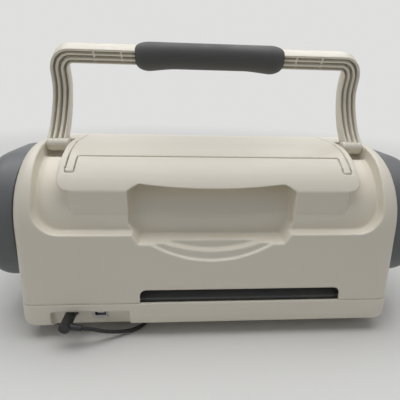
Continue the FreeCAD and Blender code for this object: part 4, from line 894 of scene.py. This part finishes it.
class CUTTER_OT_handle(Operator):
    """Sweeps the carrying handle's channelled section round its U and up over the shoulder"""

    bl_idname = "cutter.handle"
    bl_label = "Handle"

    def execute(self, context):
        sizes = settings()
        fold = JOINTS["handle_fold"]
        pivot = Vector(fold["pos_m"])
        raised = Matrix.Translation(pivot) @ Matrix.Rotation(math.radians(fold["range_deg"][1]), 4, "X")
        raised = raised @ Matrix.Translation(-pivot)
        shapes = [self.band(sizes, pivot)]
        wide = sizes.arm_width + sizes.arm_flare
        for side in (1.0, -1.0):
            end = wide / 2.0
            rim = EYE_RADIUS - EYE_CHAMFER
            eye = turned([(0.0, -end), (rim, -end), (EYE_RADIUS, -end + EYE_CHAMFER),
                          (EYE_RADIUS, end - EYE_CHAMFER), (rim, end), (0.0, end)], 40)
            spot = Vector((side * (sizes.arm_out + sizes.arm_flare - end), pivot.y, pivot.z))
            shapes.append(put(eye, along((1.0, 0.0, 0.0), spot, Vector((0.0, 0.0, 1.0)))))
            for reach in WEB_PLACES:
                web = block((WEB_THICK, WEB_DEEP, sizes.bar_tall - WEB_INSET), 0.3 * MM)
                shapes.append(put(web, (side * reach * MM, WEB_DEPTH_PLACE,
                                        sizes.bar_low + sizes.bar_tall / 2)))
        for shape in shapes:
            put(shape, raised)
        piece("handle_bow", shapes, "ivory_plastic", "handle", ["handle_frame"], HANDLE_EDGE)
        return {"FINISHED"}

    def section(self, sizes):
        """The handle's outline as (share of its width, radius) pairs, with its three channels."""
        width = (sizes.arm_width + sizes.bar_tall) / 2.0
        points = []

        def quarter(share, radius, rounding, start, end):
            for step in range(ROUND_STEPS + 1):
                angle = math.radians(start + (end - start) * step / ROUND_STEPS)
                points.append((share + rounding * math.cos(angle) / width,
                               radius + rounding * math.sin(angle)))

        rim = sizes.rim_round
        lip = sizes.ridge_round
        quarter(rim / width, sizes.band_out - rim, rim, 180.0, 90.0)
        quarter(1.0 - rim / width, sizes.band_out - rim, rim, 90.0, 0.0)
        quarter(1.0 - lip / width, sizes.band_in + lip, lip, 0.0, -90.0)
        for near, far in reversed(HANDLE_CHANNELS):
            quarter(far + lip / width, sizes.band_in + lip, lip, 270.0, 180.0)
            points.append((far - CHANNEL_DRAFT, sizes.channel_floor))
            points.append((near + CHANNEL_DRAFT, sizes.channel_floor))
            quarter(near - lip / width, sizes.band_in + lip, lip, 0.0, -90.0)
        quarter(lip / width, sizes.band_in + lip, lip, -90.0, -180.0)
        return points

    def path(self, sizes, share, top):
        """The half U at a share of the handle's width, from an arm's foot to the middle of the bar."""
        corner = sizes.outer_corner + (sizes.inner_corner - sizes.outer_corner) * share
        side = sizes.arm_out - sizes.arm_width * share
        bar = sizes.bar_low + sizes.bar_tall * share
        places = []
        for step in range(ARM_STEPS + 1):
            height = top + (bar + corner - top) * step / ARM_STEPS
            lean = max((height - sizes.flare_low) / (top - sizes.flare_low), 0.0)
            flare = sizes.arm_flare * (1.0 + FLARE_EASE) * lean * lean / (lean + FLARE_EASE)
            places.append((side + flare, height))
        for step in range(1, CORNER_STEPS):
            angle = math.radians(90.0 * step / CORNER_STEPS)
            places.append((side - corner * (1.0 - math.cos(angle)), bar + corner * (1.0 - math.sin(angle))))
        for step in range(BAR_STEPS + 1):
            places.append(((side - corner) * (1.0 - step / BAR_STEPS), bar))
        return places

    def band(self, sizes, pivot):
        """The folded handle: its section carried round the U and laid over the shoulder."""
        shoulder = Vector((0.0, *SHOULDER)) * MM
        middle_radius = (sizes.band_out + sizes.band_in) / 2.0
        shape = bmesh.new()
        loops = []
        for share, radius in self.section(sizes):
            half = self.path(sizes, share, pivot.z)
            both = half + [(-x, height) for x, height in reversed(half[:-1])]
            loop = []
            for x, height in both:
                climb = (height - shoulder.z) / middle_radius
                rise = height + (radius - middle_radius) * climb * smooth_step(climb, *FOOT_TURN)
                depth = math.sqrt(max(radius ** 2 - (rise - shoulder.z) ** 2, 0.0))
                loop.append(shape.verts.new((x, shoulder.y + depth, rise)))
            loops.append(loop)
        for first, second in zip(loops, loops[1:] + loops[:1]):
            for step in range(len(first) - 1):
                shape.faces.new((first[step], first[step + 1], second[step + 1], second[step]))
        shape.faces.new([loop[0] for loop in loops])
        shape.faces.new([loop[-1] for loop in loops])
        bmesh.ops.recalc_face_normals(shape, faces=shape.faces)
        return shape


class CUTTER_OT_grip(Operator):
    """Sleeves the carrying handle with its soft waisted grip"""

    bl_idname = "cutter.grip"
    bl_label = "Grip"

    def execute(self, context):
        sizes = settings()
        low, high = corners("handle_grip")
        centre = (low + high) / 2.0
        half = (high.x - low.x) / 2.0
        pivot = Vector(JOINTS["handle_fold"]["pos_m"])
        outward = centre - pivot
        outward.x = 0.0
        shape = bmesh.new()
        rings = []
        for station in range(GRIP_STATIONS + 1):
            share = -math.cos(math.pi * station / GRIP_STATIONS)
            from_end = half * (1.0 - abs(share))
            swell = smooth_step(abs(share), *GRIP_SWELL)
            under = sizes.grip_waist + (sizes.grip_bulge - sizes.grip_waist) * swell
            over = max(1.0 - from_end / sizes.grip_rounding, 0.0)
            close = 0.5 + 0.5 * math.sqrt(max(1.0 - over * over, 0.0))
            ring_points = []
            for step in range(GRIP_STEPS):
                angle = FULL_TURN * step / GRIP_STEPS
                finger_side = 0.5 - 0.5 * math.cos(angle)
                reach = (sizes.grip_top + (under - sizes.grip_top) * finger_side) * close
                ring_points.append(shape.verts.new((reach * math.cos(angle), reach * math.sin(angle),
                                                    half * share)))
            rings.append(ring_points)
        for first, second in zip(rings, rings[1:]):
            for step in range(GRIP_STEPS):
                after = (step + 1) % GRIP_STEPS
                shape.faces.new((first[step], first[after], second[after], second[step]))
        shape.faces.new(rings[0])
        shape.faces.new(rings[-1])
        bmesh.ops.recalc_face_normals(shape, faces=shape.faces)
        put(shape, along((1.0, 0.0, 0.0), centre, outward))
        piece("soft_grip_sleeve", [shape], "soft_grip", "handle", ["handle_grip"])
        return {"FINISHED"}


class CUTTER_OT_feet(Operator):
    """Sets four dished rubber feet and the base screws under the machine"""

    bl_idname = "cutter.feet"
    bl_label = "Feet and screws"

    def execute(self, context):
        sizes = settings()
        low, high = corners("rubber_feet")
        radius = FOOT_RADIUS
        tall = high.z
        foot = turned([(0.0, sizes.foot_dish), (radius * 0.5, sizes.foot_dish), (radius * 0.58, 0.0),
                       (radius * 0.86, 0.0), (radius * 0.96, 0.4 * MM), (radius, 1.4 * MM),
                       (radius * 0.97, tall * 0.7), (radius, tall), (0.0, tall)], 40)
        spots = [(x, y, low.z) for x in (low.x + radius, high.x - radius)
                 for y in (low.y + radius, high.y - radius)]
        pads = recipe("points").grow(foot, "rubber", spots)
        piece("foot_pads", [pads], "rubber", HOUSING, ["rubber_feet"])
        screw = hex_screw(sizes.screw_head, -sizes.screw_rise, 0.45, 0.82, 0.44, 0.35)
        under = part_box("base_tray")[0][2]
        along_x, along_y = BASE_SCREW_PLACES
        spots = [(x * along_x, y * along_y, under) for x in (-1, 0, 1) for y in (-1, 1)]
        piece("base_screws", [recipe("points").grow(screw, "steel", spots)], "steel", HOUSING)
        return {"FINISHED"}


class CUTTER_OT_controls(Operator):
    """Dresses the console with its keys, dials, buttons, scale marks and display"""

    bl_idname = "cutter.controls"
    bl_label = "Controls"

    def execute(self, context):
        dress("display_window")
        for name in ("control_console", "cartridge_socket"):
            skin(name, HOUSING, CONSOLE_VOXEL)
        sizes = settings()
        outward = Vector(JOINTS["size_dial_turn"]["axis"])
        up_face = Vector((1.0, 0.0, 0.0)).cross(outward) * -1.0
        for name in DIALS:
            self.dial(name, outward, sizes)
        for name in BUTTONS:
            self.button(name, outward)
        self.button("release_button", -Vector(JOINTS["release_press"]["axis"]))
        self.keypad(outward, up_face, sizes)
        return {"FINISHED"}

    def dial(self, name, outward, sizes):
        """A ribbed knob with its pointer, and the marks round it on the console."""
        joint = JOINTS[name + "_turn"]
        seat = along(outward, joint["pos_m"])
        low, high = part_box(name)
        radius = (high[0] - low[0]) / 2.0
        tall = DIAL_TALL
        foot = DIAL_GAP
        knob = turned([(0.0, foot), (radius, foot), (radius, foot + 1.2 * MM),
                       (radius * 0.86, foot + 1.8 * MM), (radius * 0.8, tall - 0.8 * MM),
                       (radius * 0.72, tall), (radius * 0.4, tall - 0.25 * MM), (0.0, tall - 0.4 * MM)], 44)
        rib = put(block((0.9 * MM, 0.9 * MM, tall * 0.62), 0.25 * MM), (0.0, 0.0, tall * 0.55))
        ribs = ring(rib, "gray_plastic", sizes.knob_ribs, radius * 0.82, seat)
        put(knob, seat)
        piece(name + "_knob", [knob, ribs], "gray_plastic", name, [name])
        pointer = put(block((radius * 0.55, 0.9 * MM, 0.3 * MM), 0.1 * MM),
                      (radius * 0.42, 0.0, tall - 0.12 * MM))
        put(pointer, seat @ Matrix.Rotation(math.radians(90.0), 4, "Z"))
        piece(name + "_pointer", [pointer], "white_plastic", name)
        mark = block((1.3 * MM, 0.4 * MM, 0.16 * MM), 0.05 * MM, 1)
        marks = ring(mark, "white_plastic", sizes.scale_marks, radius + 1.3 * MM, seat,
                     MARKS_START, MARKS_SWEEP)
        piece(name + "_marks", [marks], "white_plastic", HOUSING)

    def button(self, name, outward):
        """A dished cap with a plain raised symbol."""
        place = along(outward, middle(name))
        low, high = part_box(name)
        wide = high[0] - low[0]
        radius = wide / 2.0
        depth = (high[1] - low[1] - wide * abs(place[1][1])) / abs(place[1][2])
        half = depth / 2.0
        cap = turned([(0.0, -half), (radius, -half), (radius, half - 0.8 * MM),
                      (radius * 0.93, half - 0.3 * MM), (radius * 0.8, half),
                      (radius * 0.5, half - 0.1 * MM), (0.0, half - 0.22 * MM)], 40)
        put(cap, place)
        piece(name + "_cap", [cap], NODE_SLOTS[name], name, [name])
        reach = radius * SYMBOL_REACH
        wedge = reach * 0.6
        square = reach * 0.8
        bar = reach * 0.16
        turns = [FULL_TURN * step / DISC_STEPS for step in range(DISC_STEPS)]
        outlines = {
            "load_button": [(-reach, wedge), (reach, wedge), (0.0, -reach)],
            "unload_button": [(-reach, -wedge), (reach, -wedge), (0.0, reach)],
            "stop_button": [(-square, -square), (square, -square), (square, square), (-square, square)],
            "cut_button": [(reach * math.cos(turn), reach * math.sin(turn)) for turn in turns],
            "power_button": [(-bar, 0.0), (bar, 0.0), (bar, reach * 1.2), (-bar, reach * 1.2)],
        }
        if name not in outlines:
            return
        symbol = put(prism(outlines[name], SYMBOL_RISE), (0.0, 0.0, half - SYMBOL_RISE))
        put(symbol, place)
        piece(name + "_symbol", [symbol], "white_plastic", name)

    def keypad(self, outward, up_face, sizes):
        """A rubber sheet with rows of low keys."""
        low, high = corners("keypad")
        thick = KEYPAD_THICK
        wide = high.x - low.x
        tall = (high.z - low.z - thick * abs(outward.z)) / abs(up_face.z)
        seat = along(outward, (low + high) / 2.0)
        base = thick * KEYPAD_BASE
        sheet = put(block((wide, tall, base), 0.4 * MM), (0.0, 0.0, (base - thick) / 2.0))
        put(sheet, seat)
        columns = sizes.key_columns
        rows = sizes.key_rows
        rise = thick - base + KEY_SINK
        key = block((wide / columns * KEY_SHARES[0], tall / rows * KEY_SHARES[1], rise), 0.35 * MM)
        put(key, (0.0, 0.0, (thick - rise) / 2.0))
        keys = recipe("grid").grow(key, "key_rubber", place=seat, Columns=columns, Rows=rows,
                                   Wide=wide * (1.0 - 1.0 / columns) * KEY_SPREAD,
                                   Tall=tall * (1.0 - 1.0 / rows) * KEY_SPREAD)
        piece("keypad_keys", [sheet, keys], "key_rubber", HOUSING, ["keypad"])


class CUTTER_OT_works(Operator):
    """Finishes the rollers, gears, belt drive, carriage, blade, board and sockets"""

    bl_idname = "cutter.works"
    bl_label = "Works"

    def execute(self, context):
        dress("feed_roller", "roller_gear", "pinch_roller", "feed_pinion", "feed_motor", "mat_deck",
              "side_plate_left", "side_plate_right", "carriage_rail", "guide_shaft", "drive_belt",
              "drive_pulley", "idler_pulley", "carriage_motor", "blade_holder", "cutting_blade",
              "main_board", "usb_socket", "dc_jack")
        sizes = settings()
        skin("carriage", "carriage", FINE_VOXEL)
        self.belt_teeth(sizes)
        self.holder_knob(sizes)
        self.screws(sizes)
        self.usb_tongue()
        return {"FINISHED"}

    def belt_teeth(self, sizes):
        """Teeth on the inside of both straight runs of the belt."""
        low, high = corners("drive_belt")
        radius = (high.y - low.y) / 2.0
        tooth = block((1.1 * MM, 0.8 * MM, high.z - low.z - 0.4 * MM), 0.2 * MM, 1)
        run = high.x - low.x - 2.4 * radius
        teeth = recipe("grid").grow(tooth, "rubber", place=(low + high) / 2.0,
                                    Columns=int(run / sizes.tooth_pitch), Rows=2, Wide=run,
                                    Tall=high.y - low.y - 3.2 * MM)
        piece("belt_teeth", [teeth], "rubber", HOUSING)

    def holder_knob(self, sizes):
        """Grip ribs round the knob on top of the blade holder."""
        low, high = corners("blade_holder")
        radius = (high.x - low.x) / 2.0
        rib = put(block((0.8 * MM, 0.9 * MM, 4.2 * MM), 0.25 * MM), (0.0, 0.0, -2.9 * MM))
        spot = Vector(((low.x + high.x) / 2.0, (low.y + high.y) / 2.0, high.z))
        ribs = ring(rib, "gray_plastic", sizes.collar_ribs, radius, Matrix.Translation(spot))
        piece("holder_knob_ribs", [ribs], "gray_plastic", "blade")

    def screws(self, sizes):
        """Screws that hold the carriage's front and the carriage motor."""
        screw_sizes = (sizes.screw_head * SMALL_HEAD, sizes.screw_rise, 0.5, 0.8, 0.45, 0.4)
        low, high = corners("carriage")
        facing = put(hex_screw(*screw_sizes), along((0.0, -1.0, 0.0), (0.0, 0.0, 0.0)))
        edge = CARRIAGE_SCREW_EDGE
        spots = [(x, low.y, z) for x in (low.x + edge, high.x - edge)
                 for z in (low.z + edge, low.z + CARRIAGE_SCREW_TOP)]
        piece("carriage_screws", [recipe("points").grow(facing, "steel", spots)], "steel", "carriage")
        low, high = corners("carriage_motor")
        edge = MOTOR_SCREW_EDGE
        spots = [(x, y, high.z) for x in (low.x + edge, high.x - edge)
                 for y in (low.y + edge, high.y - edge)]
        screws = recipe("points").grow(hex_screw(*screw_sizes), "steel", spots)
        piece("motor_screws", [screws], "steel", HOUSING)
        bearing = turned([(0.0, 0.0), (8.0 * MM, 0.0), (8.0 * MM, 0.8 * MM), (7.4 * MM, 1.2 * MM),
                          (3.0 * MM, 1.2 * MM), (3.0 * MM, 0.5 * MM), (0.0, 0.5 * MM)], 32)
        put(bearing, ((low.x + high.x) / 2.0, (low.y + high.y) / 2.0, high.z))
        piece("motor_bearing", [bearing], "steel", HOUSING)

    def usb_tongue(self):
        """The pale tongue inside the socket's mouth."""
        low, high = corners("usb_socket")
        tongue = block((6.4 * MM, 9.0 * MM, 3.4 * MM), 0.4 * MM)
        put(tongue, ((low.x + high.x) / 2.0, high.y - 6.2 * MM, (low.z + high.z) / 2.0))
        piece("usb_tongue", [tongue], "white_plastic", HOUSING)


class CUTTER_OT_stage(Operator):
    """Sets the pale floor, the soft light and the camera of the photograph"""

    bl_idname = "cutter.stage"
    bl_label = "Stage"

    def execute(self, context):
        stage = context.scene.cutter_stage
        self.floor(context, stage)
        self.world(context, stage)
        for name, place, target, size, power in LAMPS:
            self.lamp(context, name, place, target, size, getattr(stage, power))
        self.camera(context, stage)
        context.scene.view_settings.view_transform = "Standard"
        return {"FINISHED"}

    def floor(self, context, stage):
        """A wide pale table top under the machine."""
        shape = bmesh.new()
        bmesh.ops.create_grid(shape, x_segments=2, y_segments=2, size=FLOOR_REACH)
        mesh = bpy.data.meshes.new("table_top")
        shape.to_mesh(mesh)
        shape.free()
        paint = bpy.data.materials.new("table_paint")
        paint.use_nodes = True
        shader = paint.node_tree.nodes["Principled BSDF"]
        shader.inputs["Base Color"].default_value = (*stage.floor_colour, 1.0)
        shader.inputs["Roughness"].default_value = 0.7
        self.fade_out(paint.node_tree, shader, stage)
        mesh.materials.append(paint)
        table = bpy.data.objects.new("table_top", mesh)
        context.scene.collection.objects.link(table)

    def fade_out(self, tree, shader, stage):
        """Lets the far floor pass into the backdrop's colour, for the camera and for reflections."""
        plan = Plan(tree)
        place = plan.node("TexCoord", {}, {}, "Object")
        reach = plan.node("VectorMath", {"operation": "LENGTH"}, {0: place}, "Value")
        fade = plan.node("MapRange", {"interpolation_type": "SMOOTHSTEP"},
                         {"Value": reach, "From Min": FLOOR_FADE[0], "From Max": FLOOR_FADE[1]}, "Result")
        glow = plan.node("Emission", {}, {"Color": (*stage.sky_colour, 1.0)})
        surface = plan.node("MixShader", {}, {0: fade * plan.ray("Camera", "Glossy"),
                                              1: Wire(plan, shader.outputs[0]), 2: glow})
        plan.feed(tree.nodes["Material Output"].inputs["Surface"], surface)

    def world(self, context, stage):
        """A plain backdrop for what is seen, and a weak even light for the rest."""
        world = bpy.data.worlds.new("soft_room")
        world.use_nodes = True
        tree = world.node_tree
        tree.nodes.clear()
        plan = Plan(tree)
        seen = plan.node("Background", {}, {"Color": (*stage.sky_colour, 1.0)})
        fill = plan.node("Background", {}, {"Color": FILL_COLOUR, "Strength": stage.sky_light})
        room = plan.node("MixShader", {}, {0: plan.ray("Camera", "Glossy", "Transmission"),
                                           1: fill, 2: seen})
        plan.feed(tree.nodes.new("ShaderNodeOutputWorld").inputs[0], room)
        context.scene.world = world

    def lamp(self, context, name, place, target, size, power):
        """A soft rectangular lamp aimed at a point."""
        light = bpy.data.lights.new(name, "AREA")
        light.shape = "RECTANGLE"
        light.size = size[0]
        light.size_y = size[1]
        light.energy = power
        lamp = bpy.data.objects.new(name, light)
        lamp.location = place
        lamp.rotation_euler = (Vector(target) - Vector(place)).to_track_quat("-Z", "Y").to_euler()
        context.scene.collection.objects.link(lamp)

    def camera(self, context, stage):
        """The camera that stands behind the machine and looks a little down."""
        ahead = Vector((-math.sin(stage.camera_yaw) * math.cos(stage.camera_pitch),
                        -math.cos(stage.camera_yaw) * math.cos(stage.camera_pitch),
                        -math.sin(stage.camera_pitch)))
        level = Vector((-math.cos(stage.camera_yaw), math.sin(stage.camera_yaw), 0.0))
        down = ahead.cross(level)
        right = level * math.cos(stage.camera_roll) + down * math.sin(stage.camera_roll)
        below = down * math.cos(stage.camera_roll) - level * math.sin(stage.camera_roll)
        lens = bpy.data.cameras.new("photo_camera")
        lens.sensor_width = 36.0
        lens.lens = lens.sensor_width * stage.focal_share
        lens.clip_start = 0.01
        eye = bpy.data.objects.new("photo_camera", lens)
        matrix = Matrix((right, -below, -ahead)).transposed().to_4x4()
        matrix.translation = stage.camera_place
        eye.matrix_world = matrix
        context.scene.collection.objects.link(eye)
        context.scene.camera = eye


OPERATORS = (CUTTER_OT_cord, CUTTER_OT_shells, CUTTER_OT_handle, CUTTER_OT_grip, CUTTER_OT_feet,
             CUTTER_OT_controls, CUTTER_OT_works, CUTTER_OT_stage)


class CUTTER_PT_panel(Panel):
    """Lists the machine's pieces, finishes and sizes"""

    bl_idname = "CUTTER_PT_panel"
    bl_label = "Die Cutting Machine"
    bl_space_type = "VIEW_3D"
    bl_region_type = "UI"
    bl_category = "Die Cutter"

    def draw(self, context):
        layout = self.layout
        for operator in OPERATORS:
            layout.operator(operator.bl_idname)
        for group in (context.scene.cutter_finish, context.scene.cutter_shape, context.scene.cutter_stage):
            box = layout.box()
            for name in group.__annotations__:
                box.prop(group, name)


CLASSES = (FinishSettings, ShapeSettings, StageSettings, *OPERATORS, CUTTER_PT_panel)


def register():
    for item in CLASSES:
        bpy.utils.register_class(item)
    bpy.types.Scene.cutter_finish = PointerProperty(type=FinishSettings)
    bpy.types.Scene.cutter_shape = PointerProperty(type=ShapeSettings)
    bpy.types.Scene.cutter_stage = PointerProperty(type=StageSettings)


def unregister():
    del bpy.types.Scene.cutter_stage
    del bpy.types.Scene.cutter_shape
    del bpy.types.Scene.cutter_finish
    for item in reversed(CLASSES):
        bpy.utils.unregister_class(item)


def main():
    register()
    bpy.ops.cutter.cord()
    bpy.ops.cutter.shells()
    bpy.ops.cutter.handle()
    bpy.ops.cutter.grip()
    bpy.ops.cutter.feet()
    bpy.ops.cutter.controls()
    bpy.ops.cutter.works()
    bpy.ops.cutter.stage()


if __name__ == "__main__":
    main()
